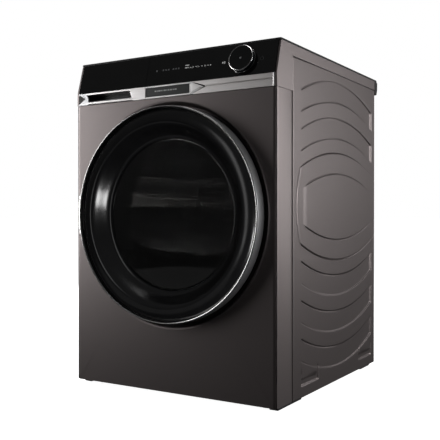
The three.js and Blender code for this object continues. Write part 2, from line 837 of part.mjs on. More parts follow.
function fanImpeller() {
  const parts = [barY(68, 173, 176, 0, 0, 24), barY(14, 134, 175)];
  for (let i = 0; i < 7; i += 1) {
    const blade = new THREE.BoxGeometry(24, 42, 2.5);
    blade.rotateY(0.5).translate(55, 153, 0);
    parts.push(solid(blade.rotateY((i * 2 * Math.PI) / 7)));
  }
  return cut(join(...parts), barY(SHAFT_R + GAP, 120, 190));
}

function fanHousing() {
  const shell = barY(80, ...FAN_Y, 0, 0, 24);
  const room = barY(76, FAN_Y[0] + 3, FAN_Y[1] - 3, 0, 0, 24);
  const inlet = barY(45, FAN_Y[0] - 5, FAN_Y[0] + 5);
  const shaftHole = barY(10, FAN_Y[1] - 5, FAN_Y[1] + 5);
  const spout = block([-105, -40], [FAN_Y[0], FAN_Y[1]], [-78, -24]);
  const spoutRoom = block([-110, -38], [FAN_Y[0] + 3, FAN_Y[1] - 3], [-75, -27]);
  return cut(join(shell, spout), room, inlet, shaftHole, spoutRoom);
}

function motorBody() {
  const can = turned(
    [
      [SHAFT_R + 0.5, 190],
      [40, 190],
      [48, 196],
      [48, 312],
      [40, 318],
      [SHAFT_R + 0.5, 318],
    ],
    18,
  );
  const feet = block([-40, 40], [215, 295], [-92, -44]);
  return join(can, cut(feet, block([-30, 30], [200, 310], [-86, -56])));
}

function motorBracket() {
  const plate = block([42, 232], [322, 327], [20, 172]);
  const pivot = barY(5, 325, 362, IDLER_PIVOT.x, IDLER_PIVOT.z, 12);
  return cut(join(plate, pivot), barY(20, 300, 330, MOTOR_X, MOTOR_Z));
}

function idlerArm() {
  const dx = IDLER.x - IDLER_PIVOT.x;
  const dz = IDLER.z - IDLER_PIVOT.z;
  const bar = new THREE.BoxGeometry(Math.hypot(dx, dz), 5, 14);
  bar.rotateY(-Math.atan2(dz, dx)).translate(dx / 2, 357, dz / 2);
  const ends = join(barY(9, 354.5, 359.5), barY(9, 354.5, 359.5, dx, dz));
  const axle = barY(4, 334, 356, dx, dz, 12);
  return cut(join(solid(bar), ends, axle), barY(5 + GAP, 340, 370));
}

function idlerPulley() {
  return ringAbout(4.3, IDLER.r, 337, 351, COARSE);
}

// A finned heat exchanger block with its two solid tube sheets.
function heatExchanger(y0, y1) {
  const [x0, x1] = [-262, -98];
  const [z0, z1] = [78, 172];
  const core = block([x0 + 4, x1 - 4], [y0, y1], [z0, z0 + 6]);
  const sheets = [block([x0, x0 + 5], [y0, y1], [z0, z1]), block([x1 - 5, x1], [y0, y1], [z0, z1])];
  const finPlates = [];
  for (let x = x0 + 16; x < x1 - 10; x += 12) {
    finPlates.push(block([x, x + 3], [y0 + 3, y1 - 3], [z0 + 5, z1 - 2]));
  }
  return join(core, ...sheets, ...finPlates);
}

function compressor() {
  const dome = new THREE.SplineCurve([
    new THREE.Vector2(0, 203),
    new THREE.Vector2(34, 199),
    new THREE.Vector2(52, 182),
    new THREE.Vector2(54, 168),
  ]);
  const crown = dome.getPoints(4).map((p) => [p.x, p.y]);
  const profile = [...crown, [54, 92], [46, 80], [0, 78]];
  const shape = turned(profile, 18);
  const standing = shape.rotate([90, 0, 0]);
  const feet = block([-62, 62], [-40, 40], [72, 77.5]);
  return join(standing, feet, block([-20, 20], [-20, 20], [76, 82]));
}

function refrigerantPipe() {
  const route = new THREE.CatmullRomCurve3([
    new THREE.Vector3(150.5, 486, 150),
    new THREE.Vector3(110, 486, 150),
    new THREE.Vector3(70, 470, 120),
    new THREE.Vector3(20, 430, 100),
    new THREE.Vector3(-50, 400, 105),
    new THREE.Vector3(-93.5, 330, 120),
  ]);
  const section = new THREE.Shape();
  section.absarc(0, 0, 4, 0, 2 * Math.PI, false);
  return solid(
    new THREE.ExtrudeGeometry(section, { steps: 18, extrudePath: route, curveSegments: 3 }),
  );
}

function condensatePump() {
  const cup = turned(
    [
      [0, 17.3],
      [34, 17.3],
      [34, 46],
      [22, 50],
      [22, 92],
      [18, 96],
      [0, 96],
    ],
    COARSE,
  ).rotate([90, 0, 0]);
  return join(cup, block([-6, 6], [20, 62], [26, 38]));
}

function mainsInlet() {
  const flange = block([-262, -212], [632.9, 636], [748, 790]);
  const boss = block([-255, -219], [635, 646], [754, 784]);
  return cut(join(flange, boss), block([-251, -223], [640, 650], [758, 780]));
}

// ---------------------------------------------------------------- base and feet

function baseTray() {
  const x = [-291, 291];
  const y = [22, 626];
  const tray = block(x, y, [12.4, 70]);
  const room = block([x[0] + 4, x[1] - 4], [y[0] + 4, y[1] - 4], [17, 80]);
  const bosses = FEET.map(([fx, fy]) => barZ(13, 14, 46, fx, fy));
  const skids = [
    [22, 146],
    [542, 612],
  ].flatMap((run) => [
    block([-290, -268], run, [3, 14]),
    block([268, 290], run, [3, 14]),
  ]);
  const wells = FEET.map(([fx, fy]) => barZ(5.5, 0, 60, fx, fy));
  const mounts = [
    block([190, 220], [440, 540], [16, 71.6]),
    block([MOTOR_X - 35, MOTOR_X + 35], [225, 285], [16, 25.6]),
    block([-262, -98], [112, 345], [16, 77.6]),
  ];
  return cut(join(cut(tray, room), ...bosses, ...mounts, ...skids), ...wells);
}

function foot() {
  const profile = [
    [0, 0],
    [14, 0],
    [16, 2],
    [16, 7],
    [11, 9.5],
    [5, 9.5],
    [5, 42],
    [0, 42],
  ];
  return turned(profile, 12).rotate([90, 0, 0]);
}

// ---------------------------------------------------------------- assembly

const cabinet = groupAt(0, 0, 0);
const atDoor = groupAt(0, 0, DOOR_Z);
const atDrum = groupAt(0, 0, DRUM_Z);
const atMotor = groupAt(MOTOR_X, 0, MOTOR_Z);

place(cabinet, "base_tray", baseTray(), blackPlastic);
place(cabinet, "side_panel_right", sidePanel(), graphite);
place(cabinet, "side_panel_left", sidePanel(), graphite).scale.x = -1;
place(cabinet, "rear_panel", rearPanel(), galvanised);
place(cabinet, "rear_duct_cover", rearDuctCover(), galvanised);
place(cabinet, "front_panel", frontPanel(), graphite);
place(cabinet, "front_side_right", frontSideStrip(), graphite);
place(cabinet, "front_side_left", frontSideStrip(), graphite).scale.x = -1;
place(cabinet, "front_bulkhead", frontBulkhead(), blackPlastic);
place(cabinet, "rear_bulkhead", rearBulkhead(), galvanised);
place(cabinet, "top_frame", topFrame(), graphite);
place(cabinet, "worktop", worktop(), blackPlastic);
place(cabinet, "control_glass", controlGlass(), blackGlass);
place(cabinet, "control_board", controlBoard(), circuit);
place(cabinet, "trim_strip", trimStrip(), satinMetal);
place(cabinet, "strip_label", stripLabel(), blackGloss);
place(cabinet, "tank_sleeve", tankSleeve(), greyPlastic);
place(cabinet, "door_lock", doorLock(), blackPlastic);
place(cabinet, "motor_bracket", motorBracket(), galvanised);
place(cabinet, "drive_belt", driveBelt(), rubber);
place(cabinet, "evaporator", heatExchanger(115, 222), fins);
place(cabinet, "condenser", heatExchanger(236, 343), fins);
place(cabinet, "refrigerant_pipe", refrigerantPipe(), copper);
place(cabinet, "mains_inlet", mainsInlet(), blackPlastic);
place(cabinet, "lint_filter", lintFilter(), greyPlastic);
place(groupAt(205, 486, 0), "compressor", compressor(), castGrey);
place(groupAt(-200, 470, 0), "condensate_pump", condensatePump(), blackPlastic);

place(cabinet, "water_tank", waterTank(), tankPlastic);
place(cabinet, "tank_front", tankFront(), blackGlass);
place(cabinet, "tank_grip", tankGrip(), chrome);

place(atMotor, "fan_housing", fanHousing(), greyPlastic);
place(atMotor, "motor_body", motorBody(), castGrey);
place(atMotor, "motor_shaft", motorShaft(), steel);
place(atMotor, "fan_impeller", fanImpeller(), greyPlastic);
place(groupAt(IDLER_PIVOT.x, 0, IDLER_PIVOT.z), "idler_arm", idlerArm(), galvanised);
place(groupAt(IDLER.x, 0, IDLER.z), "idler_pulley", idlerPulley(), greyPlastic);

place(atDoor, "door_seal", ringAbout(MOUTH_R + 3, MOUTH_R + 11, 10.3, 16.7), rubber);
place(atDoor, "hinge_bracket", hingeBracket(), steel);
place(atDoor, "hinge_pin", barZ(HINGE_PIN_R, -HINGE_HALF, HINGE_HALF, HINGE_X, HINGE_Y, 12), steel);
place(atDoor, "door_ring", doorRing(), satinMetal);
place(atDoor, "door_bezel", doorBezel(), blackGloss);
place(atDoor, "door_window", doorWindow(), smokedGlass);
place(atDoor, "door_liner", doorLiner(), blackPlastic);
place(atDoor, "door_bowl", doorBowl(), clearGlass);
place(atDoor, "hinge_arm", hingeArm(), steel);
place(atDoor, "door_hook", doorHook(), greyPlastic).position.set(HOOK.x, HOOK.y, 0);

place(atDrum, "drum_shell", drumShell(), steel);
place(atDrum, "drum_shaft", drumShaft(), steel);
place(atDrum, "drum_bearing", ringAbout(10.3, 21.7, 553, 575, COARSE), castGrey);
const feltRing = ringAbout(MOUTH_R + 5, DRUM_LIP_R - 8, 92, 97);
place(atDrum, "drum_felt", feltRing.translate([0, 0, DOOR_Z - DRUM_Z]), felt);
[0, 1, 2].forEach((i) => {
  const lifter = place(atDrum, `drum_lifter_${i + 1}`, drumLifter(), greyPlastic);
  lifter.rotation.y = (i * 2 * Math.PI) / 3 + LIFTER_TURN;
});
[
  ["left", -ROLLER_X],
  ["right", ROLLER_X],
].forEach(([side, x]) => {
  place(groupAt(x, 110, ROLLER_Z), `drum_roller_${side}`, drumRoller(), rubber);
});

// The knob is a disc with a rounded edge on a shaft that goes through the glass.
const knobProfile = [
  [0, KNOB.proud],
  [KNOB.r - 3, KNOB.proud],
  [KNOB.r, KNOB.proud - 3],
  [KNOB.r - 1, 0.6],
  [KNOB.shaft, 0.6],
  [KNOB.shaft, -20],
  [0, -20],
];
const knob = place(groupAt(KNOB.x, KNOB.y, KNOB.z), "knob", turned(knobProfile, 36), blackGloss);
knob.rotation.x = Math.PI - GLASS_TILT;

FEET.forEach(([x, y], i) => {
  place(groupAt(x, y, 0), `foot_${i + 1}`, foot(), rubber);
});

export default root;
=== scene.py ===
import math

import bmesh
import bpy
import numpy as np
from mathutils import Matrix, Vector


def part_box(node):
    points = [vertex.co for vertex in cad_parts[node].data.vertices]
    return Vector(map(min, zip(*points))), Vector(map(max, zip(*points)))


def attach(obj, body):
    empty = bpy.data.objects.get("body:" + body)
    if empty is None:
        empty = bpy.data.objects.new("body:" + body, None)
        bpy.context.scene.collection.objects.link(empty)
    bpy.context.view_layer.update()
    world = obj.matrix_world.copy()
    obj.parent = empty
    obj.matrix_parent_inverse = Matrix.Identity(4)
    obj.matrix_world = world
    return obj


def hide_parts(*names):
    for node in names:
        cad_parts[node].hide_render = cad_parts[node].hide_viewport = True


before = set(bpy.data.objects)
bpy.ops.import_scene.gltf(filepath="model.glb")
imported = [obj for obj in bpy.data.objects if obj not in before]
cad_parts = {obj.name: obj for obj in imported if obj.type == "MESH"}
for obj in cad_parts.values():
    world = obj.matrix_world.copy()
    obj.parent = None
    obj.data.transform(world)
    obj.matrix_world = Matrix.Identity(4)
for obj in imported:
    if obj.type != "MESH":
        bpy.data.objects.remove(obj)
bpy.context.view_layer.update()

# ---------------------------------------------------------------- places and sizes, in millimetres

MM = 0.001
FACE_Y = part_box("front_panel")[0].y / MM  # the front panel's face
HALF_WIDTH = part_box("worktop")[1].x / MM + 0.3
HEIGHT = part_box("worktop")[1].z / MM
LID_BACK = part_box("top_frame")[1].y / MM - FACE_Y
STRIP_TOP = 769.0
SEAM_Z = 737.0
GLASS_TILT = math.atan2(22.4, HEIGHT - STRIP_TOP)
DOOR_Z = sum(corner.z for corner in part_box("door_ring")) / 2 / MM
DRUM_Z = sum(corner.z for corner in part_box("drum_shell")) / 2 / MM
RING_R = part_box("door_ring")[1].x / MM
WINDOW_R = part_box("door_window")[1].x / MM
DRAWER_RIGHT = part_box("tank_front")[1].x / MM
HINGE_X, HINGE_Y = -270.5, -14.0
UP = (0, 0, 1)


def at(x, y, z):
    """A point in the row frame: x from the middle, y back from the front panel's face, z up."""
    return Vector((x * MM, (FACE_Y + y) * MM, z * MM))


def node_centre(name):
    """The middle of a CAD node's box, in the same millimetres as at()."""
    low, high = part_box(name)
    middle = (low + high) / 2 / MM
    return middle.x, middle.y - FACE_Y, middle.z


class Plane:
    """A flat working plane: u and v lie in it, n stands out of it."""

    def __init__(self, origin, u, v):
        self.origin = Vector(origin)
        self.u = Vector(u).normalized()
        self.v = Vector(v).normalized()
        self.n = self.u.cross(self.v)

    def point(self, u, v, n=0.0):
        p = self.origin + self.u * u + self.v * v + self.n * n
        return at(*p)


FRONT = Plane((0, 0, 0), (1, 0, 0), (0, 0, 1))  # n is towards the viewer
SIDE = Plane((0, 0, 0), (0, 1, 0), (0, 0, 1))  # u is y, v is z, n is +x
TOP = Plane((0, 0, 0), (1, 0, 0), (0, 1, 0))
GLASS = Plane((0, 0, STRIP_TOP), (1, 0, 0), (0, math.sin(GLASS_TILT), math.cos(GLASS_TILT)))

# ---------------------------------------------------------------- forms


def rounded(points, steps=4):
    """(a, b) or (a, b, radius) corners, with each corner that has a radius turned into an arc."""
    count = len(points)
    out = []
    for i, point in enumerate(points):
        here = Vector(point[:2])
        radius = point[2] if len(point) > 2 else 0.0
        if radius <= 0 or i in (0, count - 1):
            out.append(tuple(here))
            continue
        before = Vector(points[i - 1][:2]) - here
        after = Vector(points[i + 1][:2]) - here
        reach = min(radius, before.length * 0.49, after.length * 0.49)
        start = here + before.normalized() * reach
        end = here + after.normalized() * reach
        for k in range(steps + 1):
            t = k / steps
            out.append(tuple(start * (1 - t) ** 2 + here * 2 * t * (1 - t) + end * t**2))
    return out


def rounded_loop(points, steps=4):
    """The same for a closed outline, whose first and last corners are rounded too."""
    count = len(points)
    turned_round = [points[-1], *points, points[0]]
    out = []
    for i in range(1, count + 1):
        three = [turned_round[i - 1], turned_round[i], turned_round[i + 1]]
        out += rounded(three, steps)[1:-1]
    return out


def peg(radius, low, high, edge):
    """The profile of a solid round bar from low to high with rounded edges."""
    return rounded([(0, low), (radius, low, edge), (radius, high, edge), (0, high)])


def circle(radius, centre=(0.0, 0.0), count=32, start=0.0, end=2 * math.pi):
    closed = abs(end - start - 2 * math.pi) < 1e-6
    steps = count if closed else count - 1
    angles = [start + (end - start) * i / steps for i in range(count)]
    return [(centre[0] + radius * math.cos(a), centre[1] + radius * math.sin(a)) for a in angles]


class Form:
    """Mesh being put together for one piece."""

    def __init__(self):
        self.bm = bmesh.new()

    def face(self, points):
        return self.bm.faces.new([self.bm.verts.new(p) for p in points])

    def grid(self, rows, closed=False):
        """Quads between rows of points. closed joins each row's end to its start."""
        made = [[self.bm.verts.new(p) for p in row] for row in rows]
        for a, b in zip(made, made[1:]):
            count = len(a) if closed else len(a) - 1
            for i in range(count):
                j = (i + 1) % len(a)
                self.bm.faces.new((a[i], a[j], b[j], b[i]))
        return made

    def turned(self, profile, origin, axis=(0, 1, 0), segments=160, loop=True):
        """A profile of (radius, along) pairs turned about an axis. loop closes it on itself."""
        axis = Vector(axis).normalized()
        side = Vector((1, 0, 0)) if abs(axis.x) < 0.9 else Vector((0, 1, 0))
        u = (side - axis * side.dot(axis)).normalized()
        v = axis.cross(u)
        rings = []
        for radius, along in profile:
            centre = Vector(origin) + axis * along
            if radius < 1e-6:
                rings.append([self.bm.verts.new(at(*centre))])
                continue
            angles = [2 * math.pi * i / segments for i in range(segments)]
            rings.append(
                [
                    self.bm.verts.new(at(*(centre + (u * math.cos(a) + v * math.sin(a)) * radius)))
                    for a in angles
                ]
            )
        if loop and len(rings[0]) > 1:
            rings.append(rings[0])
        for a, b in zip(rings, rings[1:]):
            for i in range(segments):
                j = (i + 1) % segments
                if len(a) == 1 and len(b) == 1:
                    continue
                if len(a) == 1:
                    self.bm.faces.new((a[0], b[j], b[i]))
                elif len(b) == 1:
                    self.bm.faces.new((a[i], a[j], b[0]))
                else:
                    self.bm.faces.new((a[i], a[j], b[j], b[i]))
        return self

    def prism(self, outline, plane, low, high, bevel=0.0, steps=3, far_only=False):
        """An outline in a plane's (u, v), from n = low to n = high, with its cap edges rounded."""
        bottom = [self.bm.verts.new(plane.point(u, v, low)) for u, v in outline]
        top = [self.bm.verts.new(plane.point(u, v, high)) for u, v in outline]
        caps = [self.bm.faces.new(bottom), self.bm.faces.new(top)]
        for i in range(len(outline)):
            j = (i + 1) % len(outline)
            self.bm.faces.new((bottom[i], bottom[j], top[j], top[i]))
        if bevel > 0:
            chosen = caps[1:] if far_only else caps
            edges = list({edge for cap in chosen for edge in cap.edges})
            bmesh.ops.bevel(
                self.bm, geom=edges, offset=bevel * MM, segments=steps, profile=0.5, affect="EDGES"
            )
        return self

    def slab(self, x, y, z, bevel=1.0, steps=3):
        """A block with every edge rounded."""
        corners = bmesh.ops.create_cube(self.bm, size=1.0)["verts"]
        size = Vector((x[1] - x[0], y[1] - y[0], z[1] - z[0])) * MM
        centre = at((x[0] + x[1]) / 2, (y[0] + y[1]) / 2, (z[0] + z[1]) / 2)
        for vert in corners:
            vert.co = Vector(a * b for a, b in zip(vert.co, size)) + centre
        edges = list({edge for vert in corners for edge in vert.link_edges})
        if bevel > 0:
            bmesh.ops.bevel(
                self.bm, geom=edges, offset=bevel * MM, segments=steps, profile=0.5, affect="EDGES"
            )
        return self

    def tube(self, points, radius, sides=14):
        """A round tube along points given in millimetres, capped at both ends."""
        path = [Vector(p) for p in points]
        rings = []
        across = None
        for i, here in enumerate(path):
            ahead = (path[min(i + 1, len(path) - 1)] - path[max(i - 1, 0)]).normalized()
            if across is None:
                seed = Vector((0, 0, 1)) if abs(ahead.z) < 0.9 else Vector((1, 0, 0))
                across = ahead.cross(seed).normalized()
            across = (across - ahead * across.dot(ahead)).normalized()
            up = ahead.cross(across)
            ring = []
            for k in range(sides):
                a = 2 * math.pi * k / sides
                ring.append(at(*(here + (across * math.cos(a) + up * math.sin(a)) * radius)))
            rings.append(ring)
        made = self.grid(rings, closed=True)
        self.bm.faces.new(made[0])
        self.bm.faces.new(made[-1])
        return self


def add_piece(name, form, look, slot, body="cabinet", stands_for=(), crease=32, solid=0.0, weld=False):
    """Turns a form into a piece that rides on a body. solid gives a sheet its thickness, in millimetres."""
    if weld:
        bmesh.ops.remove_doubles(form.bm, verts=form.bm.verts, dist=1e-6)
    bmesh.ops.recalc_face_normals(form.bm, faces=form.bm.faces)
    mesh = bpy.data.meshes.new(name)
    form.bm.to_mesh(mesh)
    form.bm.free()
    return finish_piece(name, mesh, look, body, stands_for, crease, solid)


def turned_piece(name, profile, origin, segments, *rest, **more):
    """A piece that is one profile turned about a line along y."""
    return add_piece(name, Form().turned(profile, origin, segments=segments), *rest, **more)


def finish_piece(name, mesh, look, body, stands_for=(), crease=32, solid=0.0, weighted=True):
    mesh.polygons.foreach_set("use_smooth", [True] * len(mesh.polygons))
    mesh.set_sharp_from_angle(angle=math.radians(crease))
    obj = bpy.data.objects.new(name, mesh)
    bpy.context.collection.objects.link(obj)
    mesh.materials.append(look)
    if solid:
        thick = obj.modifiers.new("thickness", "SOLIDIFY")
        thick.thickness = solid * MM
        thick.offset = -1.0
    if weighted:
        weights = obj.modifiers.new("weighted normals", "WEIGHTED_NORMAL")
        weights.keep_sharp = True
    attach(obj, body)
    if stands_for:
        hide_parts(*stands_for)
    return obj


# ---------------------------------------------------------------- materials


class Look:
    """A procedural material round one Principled shader."""

    def __init__(self, name, color, roughness, metallic=0.0, **sockets):
        self.material = bpy.data.materials.new(name)
        self.material.use_nodes = True
        self.tree = self.material.node_tree
        self.shader = self.tree.nodes["Principled BSDF"]
        self.color = (*color, 1.0)
        self.roughness = roughness
        self.shader.inputs["Base Color"].default_value = self.color
        self.shader.inputs["Roughness"].default_value = roughness
        self.shader.inputs["Metallic"].default_value = metallic
        for key, value in sockets.items():
            self.shader.inputs[key.replace("_", " ")].default_value = value
        self.coords = self.tree.nodes.new("ShaderNodeTexCoord").outputs["Object"]
        self.normal = None

    def noise(self, scale, stretch=(1, 1, 1), detail=3.0, rough=0.55):
        """Noise with features about 1 / scale metres across, drawn out along the axes with small stretch."""
        mapping = self.tree.nodes.new("ShaderNodeMapping")
        mapping.inputs["Scale"].default_value = stretch
        texture = self.tree.nodes.new("ShaderNodeTexNoise")
        texture.inputs["Scale"].default_value = scale
        texture.inputs["Detail"].default_value = detail
        texture.inputs["Roughness"].default_value = rough
        self.tree.links.new(self.coords, mapping.inputs["Vector"])
        self.tree.links.new(mapping.outputs["Vector"], texture.inputs["Vector"])
        return texture.outputs["Fac"]

    def spread(self, factor, low, high):
        """A factor of about 0.3 to 0.7 mapped to low to high."""
        node = self.tree.nodes.new("ShaderNodeMapRange")
        node.inputs["From Min"].default_value = 0.3
        node.inputs["From Max"].default_value = 0.7
        node.inputs["To Min"].default_value = low
        node.inputs["To Max"].default_value = high
        self.tree.links.new(factor, node.inputs["Value"])
        return node.outputs["Result"]

    def vary_color(self, factor, amount, other=None):
        """The base colour drifts by amount, darker and lighter, or towards another colour."""
        mix = self.tree.nodes.new("ShaderNodeMix")
        mix.data_type = "RGBA"
        dark = tuple(c * (1 - amount) for c in self.color[:3])
        light = tuple(min(1.0, c * (1 + amount)) for c in self.color[:3])
        mix.inputs["A"].default_value = (*dark, 1.0)
        mix.inputs["B"].default_value = (*(other or light), 1.0)
        self.tree.links.new(self.spread(factor, 0.0, 1.0), mix.inputs["Factor"])
        self.tree.links.new(mix.outputs["Result"], self.shader.inputs["Base Color"])
        return self

    def vary_roughness(self, factor, amount):
        low = max(0.02, self.roughness - amount)
        self.tree.links.new(
            self.spread(factor, low, self.roughness + amount), self.shader.inputs["Roughness"]
        )
        return self

    def bump(self, factor, strength, distance):
        node = self.tree.nodes.new("ShaderNodeBump")
        node.inputs["Strength"].default_value = strength
        node.inputs["Distance"].default_value = distance
        self.tree.links.new(factor, node.inputs["Height"])
        if self.normal is not None:
            self.tree.links.new(self.normal, node.inputs["Normal"])
        self.normal = node.outputs["Normal"]
        self.tree.links.new(self.normal, self.shader.inputs["Normal"])
        return self


def metallic_paint(name, color, roughness=0.42):
    look = Look(name, color, roughness, metallic=0.88)
    look.vary_color(look.noise(2600, detail=1.0), 0.07)
    look.vary_roughness(look.noise(900, detail=2.0), 0.04)
    return look.bump(look.noise(260, detail=1.0), 0.05, 0.0002).material


def moulded_plastic(name, color, roughness=0.5, grain=1400, depth=0.12, specular=0.5):
    look = Look(name, color, roughness, Specular_IOR_Level=specular)
    look.vary_color(look.noise(45), 0.06)
    look.vary_roughness(look.noise(120), 0.06)
    return look.bump(look.noise(grain, detail=2.0), depth, 0.0002).material


def gloss_black(name, color=(0.006, 0.006, 0.007), roughness=0.09, **sockets):
    look = Look(name, color, roughness, **sockets)
    look.vary_color(look.noise(30), 0.15)
    look.vary_roughness(look.noise(14, detail=5.0), 0.03)
    return look.bump(look.noise(22, detail=1.0), 0.02, 0.0004).material


def brushed_metal(name, color, roughness, stretch, metallic=1.0, scale=900):
    """Fine lines, long in the direction where stretch is small."""
    look = Look(name, color, roughness, metallic=metallic)
    lines = look.noise(scale, stretch, detail=3.0, rough=0.6)
    look.vary_color(lines, 0.04)
    look.vary_roughness(lines, 0.03)
    return look.bump(lines, 0.05, 0.00004).material


def see_through(name, color, alpha, roughness=0.04):
    look = Look(name, color, roughness, Alpha=alpha, Specular_IOR_Level=0.6)
    look.vary_roughness(look.noise(16, detail=4.0), 0.02)
    return look.bump(look.noise(20, detail=1.0), 0.02, 0.0004).material


def lit_mark(name, color, strength):
    look = Look(name, color, 0.4)
    look.shader.inputs["Emission Color"].default_value = (*color, 1.0)
    look.shader.inputs["Emission Strength"].default_value = strength
    return look.vary_color(look.noise(700), 0.08).material


def soft_rubber(name, color, roughness=0.75):
    look = Look(name, color, roughness)
    look.vary_color(look.noise(60), 0.12)
    return look.bump(look.noise(700, detail=4.0), 0.25, 0.0003).material


def wool_felt(name, color):
    look = Look(name, color, 0.95, Sheen_Weight=0.4)
    look.vary_color(look.noise(500, detail=5.0), 0.2)
    return look.bump(look.noise(900, (1, 0.4, 1), detail=6.0), 0.6, 0.0006).material


PAINT = metallic_paint("graphite_paint", (0.168, 0.147, 0.145), 0.40)
# A lighter copy of the graphite paint for the corner strips and lid side bands: a painted highlight where the
# corners catch the light.
PAINT_HIGHLIGHT_COPY = metallic_paint("graphite_paint_painted_highlight", (0.208, 0.182, 0.180), 0.38)
PAINT_SIDE = metallic_paint("graphite_paint_side", (0.168, 0.147, 0.145), 0.38)
CAP_PLASTIC = moulded_plastic("rear_cap_plastic", (0.018, 0.017, 0.017), 0.6, specular=0.2)
BLACK_GLASS = gloss_black("black_glass", (0.0078, 0.0078, 0.008), 0.09)
GLOSS_BLACK = gloss_black("gloss_black", (0.006, 0.006, 0.0065), 0.2)
KNOB_FACE = gloss_black("knob_face", (0.004, 0.005, 0.005), 0.16)
KNOB_SIDE = brushed_metal("knob_side", (0.035, 0.050, 0.062), 0.24, (1, 1, 0.1), metallic=0.9)
SMOKED = see_through("smoked_glass", (0.006, 0.006, 0.006), 0.80)
CLEAR = see_through("clear_bowl", (0.62, 0.66, 0.66), 0.16, 0.06)
CHROME = brushed_metal("chrome", (0.90, 0.88, 0.875), 0.36, (0.03, 1, 1))
SATIN_BAR = brushed_metal("satin_aluminium", (0.74, 0.71, 0.70), 0.40, (0.015, 1, 1))
SATIN_RING = brushed_metal("satin_ring", (0.50, 0.50, 0.51), 0.34, (1, 0.02, 1), metallic=0.75)
LIP_CHROME = brushed_metal("lip_chrome", (0.46, 0.455, 0.45), 0.26, (1, 0.02, 1))
KNOB_RIM = brushed_metal("knob_rim", (0.80, 0.79, 0.785), 0.22, (1, 1, 0.1))
BLACK_PLASTIC = moulded_plastic("black_plastic", (0.010, 0.010, 0.011), 0.5)
TOP_BLACK = moulded_plastic(
    "worktop_black", (0.012, 0.012, 0.013), 0.6, grain=2200, depth=0.08, specular=0.15
)
GREY_PLASTIC = moulded_plastic("grey_plastic", (0.15, 0.155, 0.16), 0.5)
DARK_GREY = moulded_plastic("dark_grey_plastic", (0.05, 0.048, 0.046), 0.45)
TANK_WHITE = moulded_plastic("tank_plastic", (0.50, 0.54, 0.57), 0.36, grain=900, depth=0.05)
BAR_CHROME = brushed_metal("bar_chrome", (0.74, 0.72, 0.715), 0.36, (0.03, 1, 1))
# The bar's chrome drawn far darker for its end facet: painted shade on the cut face.
FACET_PAINTED_SHADE = brushed_metal("facet_painted_shade", (0.16, 0.155, 0.15), 0.36, (0.03, 1, 1))
LABEL_DARK = brushed_metal("label_window", (0.055, 0.056, 0.055), 0.30, (0.02, 1, 1), metallic=0.4)
ZINC = brushed_metal("zinc_sheet", (0.48, 0.49, 0.50), 0.38, (1, 1, 0.08), metallic=0.95, scale=160)
STAINLESS = brushed_metal("stainless", (0.62, 0.62, 0.615), 0.26, (1, 0.03, 1))
RUBBER = soft_rubber("rubber", (0.018, 0.018, 0.018))
SEAL_GREY = soft_rubber("seal_rubber", (0.055, 0.055, 0.057), 0.6)
FELT = wool_felt("felt", (0.30, 0.28, 0.25))
CAST = moulded_plastic("cast_housing", (0.045, 0.048, 0.05), 0.5, grain=600, depth=0.4)
FINS = brushed_metal("aluminium_fins", (0.66, 0.67, 0.68), 0.32, (1, 0.05, 1))
COPPER = brushed_metal("copper_pipe", (0.62, 0.28, 0.15), 0.28, (0.1, 0.1, 1))
BOARD = moulded_plastic("circuit_board", (0.02, 0.09, 0.04), 0.45)
MESH_GREY = moulded_plastic("filter_mesh", (0.24, 0.25, 0.25), 0.6, grain=3000, depth=0.5)
ICON_WHITE = lit_mark("icon_white", (0.55, 0.55, 0.54), 0.30)
ICON_GREY = lit_mark("icon_grey", (0.08, 0.082, 0.085), 0.03)
MARK_GREY = lit_mark("label_mark", (0.42, 0.43, 0.42), 0.06)

# ---------------------------------------------------------------- front and side sheet metal

PANEL_W = 295.5
PANEL_Z = (12.0, 736.0)
BEND = 7.0


def front_panel():
    """The front sheet: flat face round a dished hole, rounded vertical edges and a turned-back rim."""
    flat_x = PANEL_W - BEND
    low, high = PANEL_Z
    count = 360
    corner_angles = [math.atan2(z - DOOR_Z, x) for x in (-flat_x, flat_x) for z in (low, high)]
    angles = sorted(set([2 * math.pi * i / count - math.pi for i in range(count)] + corner_angles))
    rim = rounded([(262, 16.5), (268.6, 16.5, 2), (276.2, 1.2, 3.0), (280, 0.0)], 5)
    rim.append((282, 0.0))
    rows = [[(r * math.cos(a), y, DOOR_Z + r * math.sin(a)) for a in angles] for r, y in rim]
    edge = []
    for a in angles:
        across, up = math.cos(a), math.sin(a)
        reach = [flat_x / abs(across) if abs(across) > 1e-9 else 1e9]
        if up > 1e-9:
            reach.append((high - DOOR_Z) / up)
        if up < -1e-9:
            reach.append((low - DOOR_Z) / up)
        distance = min(reach)
        edge.append((across * distance, 0.0, DOOR_Z + up * distance))
    rows.append(edge)
    form = Form()
    form.grid([[at(*p) for p in row] for row in rows], closed=True)
    fold = [(BEND * math.sin(t), BEND - BEND * math.cos(t)) for t in np.linspace(0, math.pi / 2, 9)]
    fold.append((BEND, 20.0))
    for side in (-1, 1):
        heights = sorted(p[2] for p in edge if abs(p[0] - side * flat_x) < 1e-6)
        form.grid([[at(side * (flat_x + out), back, z) for z in heights] for out, back in fold])
    for z, sign in ((low, 1), (high, -1)):
        widths = sorted(p[0] for p in edge if abs(p[2] - z) < 1e-6)
        turn = [(0.0, 0.0), (0.0, 1.2), (0.4 * sign, 15.0)]
        form.grid([[at(x, back, z + lift) for x in widths] for lift, back in turn])
    add_piece(
        "front_panel_sheet", form, PAINT, "graphite_paint", stands_for=["front_panel"], solid=1.0, weld=True
    )


ARC_R = 620.0
PRESS_Y, PRESS_Z = 366.0, 469.0  # the pattern's middle
PRESS_FRONT, PRESS_REAR = 127.0, 607.0
BANDS = [(-418, -366), (-326, -274), (-232, -180), (180, 232), (274, 326)]
POCKET_HALF, POCKET_BOW, POCKET_CROWN, FIELD_CROWN = 236.0, 24.0, 140.5, 87.0
SHEET_Y = (82.5, 633.5)
SHEET_Z = (10.0, 818.7)
SHEET_BACK = 291.4  # inner face of a side sheet


